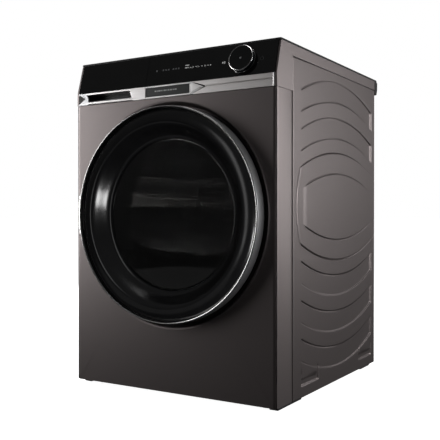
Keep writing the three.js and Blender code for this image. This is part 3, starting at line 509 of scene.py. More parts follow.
def smooth_step(distance, width):
    t = np.clip(distance / width, 0.0, 1.0)
    return t * t * (3 - 2 * t)


def arc_sag(y):
    return ARC_R - np.sqrt(np.maximum(ARC_R**2 - (y - PRESS_Y) ** 2, 1.0))


def arc_gap(y, z, crown):
    """Distance above the pressed arc whose crown is at that height from the pattern's middle."""
    lean = np.sqrt(np.maximum(1 - ((y - PRESS_Y) / ARC_R) ** 2, 0.1))
    return (z - (PRESS_Z + crown - math.copysign(1.0, crown) * arc_sag(y))) * lean


def groove(distance, depth, width):
    return depth * np.exp(-((distance / width) ** 2))


def lean_groove(distance, depth, gentle, steep=1.1):
    """A groove with a gentle slope on its positive side and a steep wall on its negative side."""
    slope = np.where(distance > 0, 1 - distance / gentle, 1 + distance / steep)
    return depth * np.clip(slope, 0.0, 1.0)


def pressed_band(y, z, low, high):
    """A recess between two arcs that deepens towards the rear, with a groove along each arc at its front."""
    bottom, top = arc_gap(y, z, low), -arc_gap(y, z, high)
    inside = np.minimum(np.minimum(bottom, top), (PRESS_REAR - y) * 0.6)
    reach = np.clip((y - PRESS_FRONT) / (PRESS_REAR - PRESS_FRONT), 0, 1)
    recess = 3.4 * reach * smooth_step(inside, 2.6)
    start = smooth_step(y - PRESS_FRONT, 5) * smooth_step(PRESS_REAR - y, 30)
    upper, lower = (1.6, 1.6) if low > 0 else (3.0, 0.5)
    fade = start * (1 - 0.85 * reach)
    return recess + groove(top, upper * fade, 1.5) + groove(bottom, lower * fade, 1.3)


def pressed_pocket(y, z):
    """The wide middle pocket with its bowed front, outlined by a groove, and the raised field inside it."""
    corner = POCKET_CROWN - ARC_R + math.sqrt(ARC_R**2 - POCKET_HALF**2)
    bow_r = (corner**2 + POCKET_BOW**2) / (2 * POCKET_BOW)
    bow_y = PRESS_Y - POCKET_HALF - POCKET_BOW + bow_r
    front = np.where(y < bow_y, bow_r - np.hypot(y - bow_y, z - PRESS_Z), POCKET_HALF)
    bottom, top = arc_gap(y, z, -POCKET_CROWN), -arc_gap(y, z, POCKET_CROWN)
    outline = np.minimum(np.minimum(bottom, top), np.minimum(front, PRESS_REAR - y))
    rearward = np.clip((PRESS_REAR - y) / 300, 0, 1)
    depth = 1.2 * rearward * smooth_step(outline, 2.0)
    fade = 0.15 + 0.85 * np.clip((PRESS_REAR - 40 - y) / 330, 0, 1)
    within = (np.minimum(top, bottom) > -2.0) & (front > -9)
    depth += np.where(within, lean_groove(-front, 1.9, 8.0), 0.0)
    along = fade * (front > 0)
    ledge = 1.2 * rearward * (outline > 0)
    depth = np.maximum(depth, lean_groove(-top, 2.6, 3.0) * along * (bottom > 0) + ledge)
    depth = np.maximum(depth, (lean_groove(bottom, 3.0, 4.5) + ledge) * along * (top > 0))
    low_line, high_line = arc_gap(y, z, -FIELD_CROWN), -arc_gap(y, z, FIELD_CROWN)
    span = smooth_step(y - 150, 20) * smooth_step(590 - y, 60)
    inner = np.minimum(low_line, high_line)
    depth -= 0.9 * rearward * smooth_step(np.minimum(inner, (y - 138) * 0.12), 2.6)
    return depth + groove(inner, 1.0, 1.3) * span * np.where(z < PRESS_Z, 1.7, 0.8)


def pressed_depth(y, z):
    """How far the side sheet is pressed in at (y, z)."""
    depth = pressed_pocket(y, z)
    for low, high in BANDS:
        depth = np.maximum(depth, pressed_band(y, z, low, high))
    for first in (127.0, 503.0):
        slot = np.minimum(np.minimum(y - first, first + 102 - y), np.minimum(z - 37, 55 - z))
        depth = np.maximum(depth, 3.2 * smooth_step(slot, 3.0))
        for start in (first, first + 92):
            tab = np.minimum(np.minimum(y - start, start + 10 - y), np.minimum(z - 48, 76 - z))
            depth = np.maximum(depth, 2.6 * smooth_step(tab, 3.0))
    return depth


def edge_round(distance, radius):
    d = np.clip(distance, 0.0, radius)
    return radius - np.sqrt(radius**2 - (radius - d) ** 2)


def spaced(marks, coarse, fine, reach):
    """Positions between the first and last mark: fine within reach of every mark, coarse elsewhere."""
    out = [marks[0]]
    while out[-1] < marks[-1] - fine * 0.5:
        near = min(abs(out[-1] + fine * 0.5 - mark) for mark in marks)
        out.append(min(marks[-1], out[-1] + (fine if near < reach else min(coarse, max(fine, near - reach)))))
    return np.array(out)


def sheet_grid():
    """Rows that follow the pressed arcs, closer together along every line, and columns close at the ends."""
    low, high = SHEET_Z[0] - PRESS_Z, SHEET_Z[1] - PRESS_Z
    lines = [crown for band in BANDS for crown in band]
    lines += [-POCKET_CROWN, -FIELD_CROWN, FIELD_CROWN, POCKET_CROWN]
    crowns = spaced(sorted([low, high, -440, -448, *lines]), 9.0, 0.85, 5.2)
    bend = np.interp(crowns, [low, -418, -FIELD_CROWN, FIELD_CROWN, 326, high], [0, -1, -1, 1, 1, 0])
    upright_lines = [101, 109, 117, 125, 131, 140, 223, 229, 503, 512, 600, 607]
    ys = spaced([SHEET_Y[0], *upright_lines, SHEET_Y[1]], 9.0, 1.0, 5.0)
    y, crown = np.meshgrid(ys, crowns)
    return y, PRESS_Z + crown - bend[:, None] * arc_sag(y)


def side_sheet(side):
    """One pressed side of the cabinet, closed behind by a flat back."""
    y, z = sheet_grid()
    depth = pressed_depth(y, z)
    for gap in (y - SHEET_Y[0], SHEET_Y[1] - y, z - SHEET_Z[0], SHEET_Z[1] - z):
        depth = depth + edge_round(gap, 1.0)
    points = np.stack([side * (HALF_WIDTH - depth), y + FACE_Y, z], axis=-1).reshape(-1, 3)
    tall, wide = y.shape
    index = np.arange(wide * tall).reshape(tall, wide)
    quads = np.stack([index[:-1, :-1], index[:-1, 1:], index[1:, 1:], index[1:, :-1]], axis=-1).reshape(-1, 4)
    rim = np.concatenate([index[0, :-1], index[:-1, -1], index[-1, :0:-1], index[:0:-1, 0]])
    behind = points[rim] * [0, 1, 1] + [side * SHEET_BACK, 0, 0]
    back = wide * tall + np.arange(len(rim))
    edge = np.stack([np.roll(rim, -1), rim, back, np.roll(back, -1)], axis=-1)
    faces = [*quads.tolist(), *edge.tolist(), back[::-1].tolist()]
    if side < 0:
        faces = [face[::-1] for face in faces]
    word = "right" if side > 0 else "left"
    mesh = bpy.data.meshes.new(f"side_sheet_{word}")
    mesh.from_pydata((np.concatenate([points, behind]) * MM).tolist(), [], faces)
    finish_piece(
        f"side_sheet_{word}", mesh, PAINT_SIDE, "cabinet",
        [f"side_panel_{word}"], crease=75, weighted=False,
    )


def corner_strip(side):
    """The plain strip between the front sheet and a side sheet, in the lighter copy of the graphite paint: a
    painted highlight along the corner.
    """
    word = "right" if side > 0 else "left"
    outer = HALF_WIDTH * side
    inner = outer - 2 * side
    form = Form()
    outline = rounded_loop(
        [(inner, 3.0, 0.5), (outer - 0.5 * side, 3.0, 1.2), (outer, 70.0), (outer, 74.5),
         (outer - 1.6 * side, 81.4), (inner, 81.4, 0.3)]
    )
    form.prism(outline, TOP, 12.0, SEAM_Z - 0.4, bevel=0.6)
    add_piece(f"corner_strip_{word}", form, PAINT_HIGHLIGHT_COPY, "graphite_paint", stands_for=[f"front_side_{word}"])


front_panel()
for side in (-1, 1):
    side_sheet(side)
    corner_strip(side)

# ---------------------------------------------------------------- lid and control panel


def lid_frame():
    """Painted side bands that run into the control panel's end caps, and the bar behind. The bands take the
    lighter copy of the graphite paint, a painted highlight.
    """
    top = 845.0
    slope = math.tan(GLASS_TILT)
    outline = rounded_loop(
        [
            (1.6, SEAM_Z + 0.4, 0.8),
            (1.6, STRIP_TOP, 6),
            (1.6 + (top - STRIP_TOP) * slope, top, 1.0),
            (633.8, top, 0.5),
            (633.8, 819.2, 0.5),
            (82.1, 819.2, 1.0),
            (82.1, SEAM_Z + 0.4, 0.8),
        ]
    )
    form = Form()
    for side in (-1, 1):
        low, high = sorted((side * (HALF_WIDTH - 5), side * HALF_WIDTH))
        form.prism(outline, SIDE, low, high, bevel=0.9)
    add_piece("lid_side_bands", form, PAINT_HIGHLIGHT_COPY, "graphite_paint", stands_for=["top_frame"])
    cap = rounded_loop(
        [(634.3, top, 0.5), (LID_BACK, top, 3), (LID_BACK, 824, 3), (652, 806, 3), (640, 806, 3),
         (634.3, 819, 2)]
    )
    form = Form()
    form.prism(cap, SIDE, -HALF_WIDTH, HALF_WIDTH, bevel=1.6)
    add_piece("lid_back_bar", form, CAP_PLASTIC, "graphite_paint", stands_for=["top_frame"])


def worktop():
    front = (HEIGHT - 5 - STRIP_TOP) * math.tan(GLASS_TILT)
    w = HALF_WIDTH - 0.3
    outline = rounded_loop([(-w, front, 2), (w, front, 2), (w, LID_BACK, 8), (-w, LID_BACK, 8)], 6)
    form = Form()
    form.prism(outline, TOP, HEIGHT - 4.7, HEIGHT, bevel=1.2, steps=4)
    add_piece("worktop_slab", form, TOP_BLACK, "black_plastic", stands_for=["worktop"])


def glass_sheet(name, x0, x1, body, node):
    height = (845 - 0.2 - STRIP_TOP - 0.5) / math.cos(GLASS_TILT)
    low = 0.5 / math.cos(GLASS_TILT)
    outline = rounded_loop([(x0, low, 1), (x1, low, 1), (x1, low + height, 1), (x0, low + height, 1)], 3)
    form = Form()
    form.prism(outline, GLASS, -3.0, 0.0, bevel=0.35, steps=3)
    add_piece(name, form, BLACK_GLASS, "black_glass", body=body, stands_for=[node])


def bar_on_glass(form, u, v):
    form.prism([(u[0], v[0]), (u[1], v[0]), (u[1], v[1]), (u[0], v[1])], GLASS, 0.02, 0.18)


def ring_on_glass(form, centre, radius, width, start=0.0, end=360.0):
    outer = circle(radius, centre, 26, math.radians(start), math.radians(end - 0.1))
    inner = circle(radius - width, centre, 26, math.radians(start), math.radians(end - 0.1))
    for i in range(25):
        form.prism([outer[i], outer[i + 1], inner[i + 1], inner[i]], GLASS, 0.02, 0.18)


def panel_marks():
    """Generic lit symbols: a start triangle with pause bars, a clock, a steam wave, bars and dots."""
    form = Form()
    height, play = 38.5, 149.0
    form.prism([(play, height - 3), (play + 3.6, height), (play, height + 3)], GLASS, 0.02, 0.18)
    bar_on_glass(form, (play + 4.4, play + 5.6), (height - 3, height + 3))
    bar_on_glass(form, (play + 6.6, play + 7.8), (height - 3, height + 3))
    for v, widths in ((42.5, (3, 2, 4, 3)), (36.0, (2, 4, 2, 3))):
        u = 43.0
        for width in widths:
            bar_on_glass(form, (u, u + width - 1.0), (v, v + 2.6))
            u += width
    for radius, u in ((2.4, 66.0), (2.2, 101.0)):
        ring_on_glass(form, (u, 37.0), radius, 0.6)
    wave = [(73 + i * 0.5, 37 + 1.5 * math.sin(i * 0.5)) for i in range(26)]
    for (u0, v0), (u1, v1) in zip(wave, wave[1:]):
        form.prism([(u0, v0 - 0.4), (u1, v1 - 0.4), (u1, v1 + 0.4), (u0, v0 + 0.4)], GLASS, 0.02, 0.18)
    for u in (57.0, 90.0, 107.0):
        bar_on_glass(form, (u, u + 4.6), (36.5, 37.6))
    form.prism([(115, 35), (118.6, 37), (115, 39)], GLASS, 0.02, 0.18)
    add_piece("panel_lit_marks", form, ICON_WHITE, "black_glass")
    form = Form()
    ring_on_glass(form, (255.0, 37.5), 4.6, 0.9, 125, 415)
    bar_on_glass(form, (254.4, 255.6), (38.5, 43.5))
    for u in (-44, -24, -16, -8, 6, 14, 22):
        bar_on_glass(form, (u, u + 4.5), (36.5, 40.5))
    add_piece("panel_dim_marks", form, ICON_GREY, "black_glass")


def knob():
    """The programme knob: black face in a bright rim, darker blue-black side, and a small grey dot."""
    node_low, node_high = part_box("knob")
    foot = Vector((0.0, -math.cos(GLASS_TILT), math.sin(GLASS_TILT)))
    x = (node_low.x + node_high.x) / 2 / MM
    radius = (node_high.x - node_low.x) / 2 / MM
    z = 806.0
    origin = (x, (z - STRIP_TOP) * math.tan(GLASS_TILT), z)
    skirt = rounded(
        [(0, 1.0), (radius - 1.5, 1.0), (radius - 1.5, 2.4, 0.6), (radius - 0.2, 3.4, 0.6),
         (radius - 0.1, 11.6, 0.5), (radius - 0.9, 12.4), (0, 12.4)]
    )
    side = Form().turned(skirt, origin, foot)
    add_piece("knob_side", side, KNOB_SIDE, "gloss_black", "knob", ["knob"])
    rim = rounded_loop(
        [(radius - 0.1, 12.3, 0.3), (radius - 0.2, 13.4, 0.8), (radius - 1.2, 14.0, 0.5),
         (radius - 2.0, 13.4, 0.4), (radius - 2.1, 12.3, 0.2)]
    )
    add_piece("knob_rim", Form().turned(rim, origin, foot), KNOB_RIM, "chrome", "knob")
    foot_ring = rounded_loop(
        [(radius - 1.4, 1.0, 0.2), (radius - 0.1, 1.1, 0.4), (radius - 0.1, 2.4, 0.4),
         (radius - 1.4, 2.4, 0.2)]
    )
    add_piece("knob_foot_ring", Form().turned(foot_ring, origin, foot), KNOB_RIM, "chrome", "knob")
    face = rounded(
        [(0, 12.2), (radius - 2.2, 12.2, 0.4), (radius - 2.3, 13.2, 0.6), (radius - 9, 13.0, 3), (0, 12.7)]
    )
    add_piece("knob_face", Form().turned(face, origin, foot), KNOB_FACE, "gloss_black", "knob")
    dot = rounded([(0, 12.6), (2.7, 12.6), (2.5, 13.3, 0.5), (0, 13.5)])
    add_piece("knob_dot", Form().turned(dot, origin, foot, 48), GREY_PLASTIC, "grey_plastic", "knob")


STRIP_LOW, STRIP_HIGH = SEAM_Z + 0.5, STRIP_TOP - 0.5
POCKET_X = (-270.0, -118.0)
POCKET_Z = (747.5, 763.5)


def drawer_bar():
    """The bright bar under the drawer's glass: finger pocket, top rail, soft lower lip, cut ends."""
    left = -292.0
    rail = rounded_loop(
        [(1.0, POCKET_Z[1], 0.8), (1.0, STRIP_HIGH, 1.2), (33, STRIP_HIGH, 0.5), (33, POCKET_Z[1], 0.5)]
    )
    lip = rounded_loop(
        [(3.0, STRIP_LOW, 0.8), (0.6, STRIP_LOW + 2.5, 2.5), (1.6, POCKET_Z[0] - 1, 3.5), (8, POCKET_Z[0], 2),
         (33, POCKET_Z[0], 0.5), (33, STRIP_LOW, 0.5)], 6
    )
    form = Form()
    form.prism(rail, SIDE, left + 1, DRAWER_RIGHT - 1, bevel=0.3)
    form.prism(lip, SIDE, left + 6, POCKET_X[1] + 6, bevel=0.3)
    block = [(POCKET_X[1] - 4, POCKET_Z[1] + 1), (POCKET_X[1] + 6, STRIP_LOW), (DRAWER_RIGHT, STRIP_LOW),
             (DRAWER_RIGHT, STRIP_HIGH - 0.4), (POCKET_X[1] + 2, STRIP_HIGH - 0.4)]
    form.prism(block, FRONT, -33, -1.4, bevel=1.0)
    add_piece("drawer_bar", form, BAR_CHROME, "chrome", "drawer", ["tank_grip"])
    form = Form()
    drop = STRIP_HIGH - 746.0
    curve = [
        (-270 + 9.5 * t + 4.5 * math.sin(math.pi * t), STRIP_HIGH - drop * t)
        for t in np.linspace(0, 1, 9)
    ]
    notch = [(left, STRIP_LOW), (left, 741.2), (-267.5, 754.6), (left, 765.6), (left, STRIP_HIGH)]
    plate = [*notch, *curve, (-259, STRIP_LOW)]
    form.prism(plate[::-1], FRONT, -5.5, -0.9, bevel=0.45, far_only=True)
    add_piece("drawer_bar_end", form, SATIN_RING, "chrome", "drawer", crease=24)
    # The cut facet at the bar's left end takes the darkened chrome: painted shade.
    form = Form()
    places = ((left, 740.6, -1.6), (-267, 754.6, -5.2), (left, 766.2, -1.6))
    corners = [FRONT.point(*place) for place in places]
    behind = [corner + Vector((0, 4 * MM, 0)) for corner in corners]
    form.face(corners)
    form.face(behind)
    for i in range(3):
        form.face([corners[i], corners[(i + 1) % 3], behind[(i + 1) % 3], behind[i]])
    add_piece("drawer_bar_facet", form, FACET_PAINTED_SHADE, "chrome", "drawer", crease=8, weld=True)
    form = Form()
    depth = 31.0
    rows = []
    for n in (-2.5, -depth):
        shift = 0 if n > -10 else 5
        low, high = POCKET_Z[0] - 1.2, POCKET_Z[1] + 0.8
        from_x, to_x = POCKET_X[0] + shift, POCKET_X[1] - shift
        places = ((from_x + 3, low), (to_x + 3, low), (to_x + 1, high), (from_x + 1, high))
        rows.append([FRONT.point(x, z, n) for x, z in places])
    made = form.grid(rows, closed=True)
    form.bm.faces.new(made[-1])
    add_piece("drawer_pocket", form, BLACK_PLASTIC, "black_plastic", "drawer", crease=20, solid=0.8)


def trim_bar():
    """The trim right of the drawer: a framed dark label, an arrow head, and a satin bar with a groove."""
    left, right = DRAWER_RIGHT + 0.7, 291.6
    label_right, tip = 62.0, 103.0
    form = Form()
    for z0, z1 in ((STRIP_LOW, 742.0), (764.5, STRIP_HIGH)):
        form.slab((left, label_right + 4), (0.8, 9), (z0, z1), bevel=1.1)
    form.slab((label_right + 0.2, label_right + 3), (1.2, 9), (740, 766), bevel=0.4)
    form.slab((right - 4.4, right), (0.9, 9), (STRIP_LOW, STRIP_HIGH), bevel=1.2)
    arrow = Form()
    outer = [(label_right + 3.6, STRIP_LOW + 0.6), (tip, 753.6), (label_right + 3.6, STRIP_HIGH - 0.6)]
    inner = [(label_right + 7.0, 744.0), (tip - 8.5, 753.6), (label_right + 7.0, 762.4)]
    arrow.prism(outer, FRONT, -6, -1.0, bevel=0.5)
    arrow.prism(inner, FRONT, -1.1, 0.1, bevel=0.5)
    add_piece("trim_frame", form, CHROME, "satin_aluminium", stands_for=["trim_strip"])
    add_piece("trim_arrow", arrow, CHROME, "satin_aluminium", crease=20)
    form = Form()
    upper = [(label_right + 6, STRIP_HIGH), (right - 5, STRIP_HIGH), (right - 5, 756.3), (tip + 8, 756.3),
             (tip + 1, 756.6), (label_right + 8, 766.8)]
    lower = [(label_right + 6, STRIP_LOW), (right - 5, STRIP_LOW), (right - 5, 752.6), (tip + 8, 752.6),
             (tip + 1, 752.4), (label_right + 8, 740)]
    form.prism(upper, FRONT, -9, -1.6, bevel=0.9)
    form.prism(lower, FRONT, -9, -1.6, bevel=0.9)
    form.slab((tip, right - 4), (5.2, 9), (750, 759), bevel=0.2)
    add_piece("trim_satin_bar", form, SATIN_BAR, "satin_aluminium")
    form = Form()
    form.slab((left + 0.2, label_right), (2.4, 6), (741.6, 764.8), bevel=0.3)
    add_piece("label_window", form, LABEL_DARK, "gloss_black", stands_for=["strip_label"])
    form = Form()
    u = -43.0
    for width in (7, 4, 9, 5, 3, 8, 4, 6, 9, 5, 8):
        end = u + width - 1.8
        bar = [(u, 753.2, 0.5), (end, 753.2, 0.5), (end, 756.4, 0.5), (u, 756.4, 0.5)]
        form.prism(rounded_loop(bar, 2), FRONT, -2.38, -2.2)
        u += width
    add_piece("label_marks", form, MARK_GREY, "gloss_black")


lid_frame()
worktop()
glass_sheet("panel_glass", DRAWER_RIGHT + 0.7, 292.3, "cabinet", "control_glass")
glass_sheet("drawer_glass", -292.0, DRAWER_RIGHT, "drawer", "tank_front")
panel_marks()
knob()
drawer_bar()
trim_bar()

# ---------------------------------------------------------------- door

DOOR = (0.0, 0.0, DOOR_Z)


def bezel_profile():
    """The black dish: a round crown that falls in an S to the window, and its back."""
    crest_r, crest_y = 230.0, -29.3
    outer = [
        (crest_r + 32 * math.sin(t), crest_y + 18 * (1 - math.cos(t))) for t in np.linspace(1.09, 0, 20)
    ]
    fall = [
        (crest_r - 42.5 * t, crest_y + 18.7 * (1 - math.cos(math.pi * t)))
        for t in np.linspace(0, 1, 36)[1:]
    ]
    back = [(WINDOW_R + 0.6, 14.4), (192, 14.4), (204, 0.0), (217, -20.0), (228, -24.0)]
    return outer + fall + back + [(242, -22.5), (258.0, -14.0)]


def door():
    """The ring, its bright lip, the black dish, the smoked window and the clear bowl."""
    ring = rounded_loop(
        [
            (RING_R, 3.4, 0.8),
            (RING_R, -26.6, 0.6),
            (RING_R - 1.2, -27.2, 0.4),
            (RING_R - 3.2, -21.0, 0.5),
            (RING_R - 3.2, 3.4, 0.5),
        ]
    )
    turned_piece(
        "door_chrome_ring", ring, DOOR, 256, SATIN_RING, "satin_aluminium", "door", ["door_ring"]
    )
    lip = rounded_loop(
        [
            (RING_R - 0.3, -26.8, 0.4),
            (RING_R - 0.4, -29.2, 1.2),
            (RING_R - 1.8, -30.0, 1.0),
            (RING_R - 3.6, -29.2, 1.0),
            (RING_R - 4.4, -26.0, 0.6),
            (RING_R - 4.4, -21.0, 0.5),
            (RING_R - 3.4, -21.0, 0.4),
            (RING_R - 1.6, -26.8, 0.4),
        ]
    )
    turned_piece("door_ring_lip", lip, DOOR, 256, LIP_CHROME, "satin_aluminium", "door")
    bezel = bezel_profile()
    turned_piece("door_bezel_dish", bezel, DOOR, 256, GLOSS_BLACK, "gloss_black", "door", ["door_bezel"])
    window = rounded(
        [(0, 7.6), (90, 8.2, 30), (WINDOW_R - 3, 11.0, 2), (WINDOW_R, 12.6, 0.8), (WINDOW_R, 14.8),
         (WINDOW_R - 6, 14.6, 2), (90, 11.2, 20), (0, 10.6)], 6
    )
    turned_piece("door_window_glass", window, DOOR, 256, SMOKED, "smoked_glass", "door", ["door_window"])
    bowl = rounded(
        [(0, 66.8), (120, 65.5, 20), (156, 62.0, 16), (178, 49.0, 10), (187.5, 27.0, 4),
         (191.4, 15.4, 0.6), (186.4, 15.4, 0.6), (183, 26.0, 6), (174, 45.5, 10), (153, 58.0, 16),
         (118, 61.6, 20), (0, 63.0)], 6
    )
    turned_piece("door_bowl_clear", bowl, DOOR, 192, CLEAR, "clear_bowl", "door", ["door_bowl"])


def door_liner():
    """The inner half of the door, with its raised rib and fixing screws."""
    shell = rounded_loop(
        [
            (RING_R - 4.2, -13.0, 0.5),
            (RING_R - 4.2, 2.5, 2),
            (252, 9.8, 5),
            (236, 9.8, 2),
            (233, 7.6, 2),
            (222, 7.6, 2),
            (219, 9.8, 2),
            (205, 9.8, 4),
            (192.6, 17.8, 1.5),
            (192.6, 15.8, 0.5),
            (204, 6.4, 2),
            (250, 6.4, 4),
            (RING_R - 7, 1.0, 2),
            (RING_R - 7, -13.0, 0.5),
        ]
    )
    form = Form().turned(shell, DOOR, segments=224)
    add_piece("door_inner_shell", form, BLACK_PLASTIC, "black_plastic", "door", ["door_liner"])
    form = Form()
    for i in range(10):
        angle = math.radians(18 + 36 * i)
        pan_screw(form, (227.5 * math.cos(angle), 7.4, DOOR_Z + 227.5 * math.sin(angle)), (0, 1, 0), 3.4)
    add_piece("door_screws", form, STAINLESS, "stainless", "door")
    form = Form()
    outline = rounded_loop(
        [(-3.5, -5, 1.5), (3.5, -5, 1.5), (3.5, 26, 0.5), (11, 26, 1.2), (11, 30, 1.5),
         (3.5, 37, 1.5), (-3.5, 37, 2)]
    )
    hook_x, hook_y = 222.0, 2.0
    form.prism([(hook_x + u, hook_y + v) for u, v in outline], TOP, DOOR_Z - 7, DOOR_Z + 7, bevel=0.8)
    form.turned(peg(2.5, -12, 12, 0.5), (hook_x, hook_y, DOOR_Z), UP, 24)
    add_piece("door_hook_catch", form, GREY_PLASTIC, "grey_plastic", "hook", ["door_hook"])


def pan_screw(form, centre, axis, radius):
    """A pan-head screw whose head stands along axis, with a recess sunk in its crown."""
    head = rounded(
        [(0, -0.3), (radius, -0.3), (radius, 0.5, 0.4), (radius * 0.5, 1.5, 0.6), (radius * 0.42, 1.5),
         (radius * 0.22, 0.5), (0, 0.5)], 3
    )
    form.turned(head, centre, axis, 20)


def hinge():
    """The door's leaf with its knuckle, and the cabinet's block with lugs and the pin."""
    half, knuckle = 49.5, 38.5
    tall = (DOOR_Z - knuckle, DOOR_Z + knuckle)
    pivot = (HINGE_X, HINGE_Y, DOOR_Z)
    form = Form()
    form.turned(
        rounded_loop([(3.3, -knuckle, 0.4), (6.5, -knuckle, 0.8), (6.5, knuckle, 0.8), (3.3, knuckle, 0.4)]),
        pivot, UP, 40,
    )
    form.slab((HINGE_X + 5.2, -246), (HINGE_Y - 4, HINGE_Y + 4), tall, bevel=1.0)
    form.slab((-250, -246), (HINGE_Y, 4.0), tall, bevel=0.8)
    add_piece("hinge_leaf", form, STAINLESS, "stainless", "door", ["hinge_arm"])
    form = Form()
    form.slab((-281.3, -243.2), (13.4, 16.6), (DOOR_Z - half, DOOR_Z + half), bevel=1.0)
    for sign in (-1, 1):
        low, high = sorted((sign * (knuckle + 2), sign * half))
        form.slab((HINGE_X - 4.3, HINGE_X + 4.3), (HINGE_Y, 14.5), (DOOR_Z + low, DOOR_Z + high), bevel=0.8)
        form.turned(peg(4.5, low + 0.3, high - 0.3, 0.6), pivot, UP, 32)
        pan_screw(form, (-253, 13.6, DOOR_Z + sign * 30), (0, -1, 0), 4.0)
    form.turned(peg(3, -half, half, 0.5), pivot, UP, 32)
    add_piece("hinge_block", form, STAINLESS, "stainless", stands_for=["hinge_bracket", "hinge_pin"])


door()
door_liner()
hinge()

# ---------------------------------------------------------------- loading mouth, filter and drum

DRUM = (0.0, 0.0, DRUM_Z)
DRUM_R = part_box("drum_shell")[1].x / MM
DRUM_Y = [corner.y / MM - FACE_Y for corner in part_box("drum_shell")]


def mouth():
    """The moulded wall behind the door: seat, collar into the drum, and roller stubs."""
    seat = rounded_loop(
        [(270, 17.2, 0.5), (216, 17.2, 2), (213, 18.4, 1), (205.5, 18.4, 1), (203, 22, 3), (203, 103.6, 0.8),
         (206.6, 103.6, 0.8), (206.6, 26, 3), (214, 20, 3), (270, 20, 0.5)]
    )
    form = Form().turned(seat, DOOR, segments=224)
    wall_hole = circle(205.0, (0, DOOR_Z), 96)
    outer = []
    for x, z in wall_hole:
        dx, dz = x, z - DOOR_Z
        room = 731 - DOOR_Z if dz > 0 else DOOR_Z - 73
        reach = min(285 / max(abs(dx), 1e-6), room / max(abs(dz), 1e-6))
        outer.append((dx * reach, DOOR_Z + dz * reach))
    rows = []
    for line, y in ((wall_hole, 60.5), (outer, 60.5), (outer, 63.5), (wall_hole, 63.5)):
        rows.append([at(x, y, z) for x, z in line])
    form.grid(rows, closed=True)
    roller_x, _, roller_z = node_centre("drum_roller_right")
    for side in (-1, 1):
        stub = rounded([(0, 62), (5, 62), (5, 122, 1), (0, 122)])
        form.turned(stub, (side * roller_x, 0, roller_z), segments=32)
    add_piece("mouth_wall", form, DARK_GREY, "black_plastic", stands_for=["front_bulkhead"])
    filter_housing()


def filter_housing():
    """The crescent at the bottom of the mouth. Its top is a wide shallow curve with a slot for the filter."""
    curve_r, low = 330.0, DOOR_Z - 110
    half = 166.0
    slot_half, slot_y = 86.0, (75.4, 88.6)
    xs = sorted(set(list(np.linspace(-half, half, 67)) + [-slot_half, slot_half]))

    def top(x):
        return low + curve_r - math.sqrt(curve_r**2 - x * x)

    def bottom(x):
        return DOOR_Z - math.sqrt(203.0**2 - x * x)

    form = Form()
    parts = [((-half, half), (69.3, slot_y[0])), ((-half, half), (slot_y[1], 102.8)),
             ((-half, -slot_half), slot_y), ((slot_half, half), slot_y)]
    for (x0, x1), (y0, y1) in parts:
        inside = [x for x in xs if x0 - 1e-6 <= x <= x1 + 1e-6]
        outline = [(x, top(x)) for x in inside] + [(x, bottom(x)) for x in reversed(inside)]
        form.prism(outline, FRONT, -y1, -y0, bevel=0.6 if y1 - y0 < 14.5 else 0.2, steps=2)
    # The housing takes grey plastic though it is slotted as black plastic: the lighter grey is painted light
    # on its face, which the mouth lamp also lights.
    add_piece("filter_housing", form, GREY_PLASTIC, "black_plastic", stands_for=["front_bulkhead"])


def lint_filter():
    low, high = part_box("lint_filter")
    y0, y1 = (low.y / MM - FACE_Y, high.y / MM - FACE_Y)
    bottom, top = low.z / MM, high.z / MM - 9
    half = high.x / MM
    form = Form()
    form.slab((-half, half), (y0, y1), (top - 12, top), bevel=1.2)
    form.slab((-half, half), (y0, y1), (bottom, bottom + 10), bevel=1.2)
    for x in (-half, -half / 3 - 2, half / 3 - 3, half - 6):
        form.slab((x, x + 6), (y0, y1), (bottom + 6, top - 8), bevel=1.0)
    form.slab((-28, 28), (y0 + 2, y1 - 2), (top - 3, top + 9), bevel=2.2, steps=4)
    form.slab((-24, 24), (y0 + 1.4, y0 + 3), (top + 2.5, top + 4), bevel=0.4)
    add_piece("filter_frame", form, GREY_PLASTIC, "grey_plastic", "filter", ["lint_filter"])
    form = Form()
    for i in range(42):
        x = -half + 4 + i * (2 * half - 8) / 41
        form.tube([(x, y0 + 2.5, bottom + 8), (x, y0 + 2.5, top - 10)], 0.45, 6)
    for i in range(22):
        z = bottom + 10 + i * (top - bottom - 24) / 21
        form.tube([(-half + 3, y0 + 3.2, z), (half - 3, y0 + 3.2, z)], 0.45, 6)
    add_piece("filter_mesh", form, MESH_GREY, "grey_plastic", "filter")


def seals():
    seal = rounded_loop(
        [(206.2, 17.0, 0.5), (206.4, 13, 2), (209.5, 10.4, 2.4), (213.4, 13, 2), (213.6, 17.0, 0.5)], 6
    )
    turned_piece("mouth_seal", seal, DOOR, 192, SEAL_GREY, "rubber", stands_for=["door_seal"])
    felt = rounded_loop([(208.4, 92.2, 1), (208.4, 96.8, 1), (213.6, 96.8, 1), (213.6, 92.2, 1)])
    turned_piece("drum_felt_ring", felt, DOOR, 128, FELT, "felt", stands_for=["drum_felt"])


BEADS = (165.0, 300.0, 372.0, 500.0)
HOLE_RINGS = ((60, 14), (84, 20), (108, 26), (132, 32), (156, 38), (180, 44), (204, 50))


def bead_profile(wall, y, way):
    """One rolled bead in a wall of that radius. way is 1 for y growing along the profile, or -1."""
    floor = wall - 2.2
    return [(wall, y - 7 * way, 3), (floor, y - 3 * way, 2), (floor, y + 3 * way, 2), (wall, y + 7 * way, 3)]


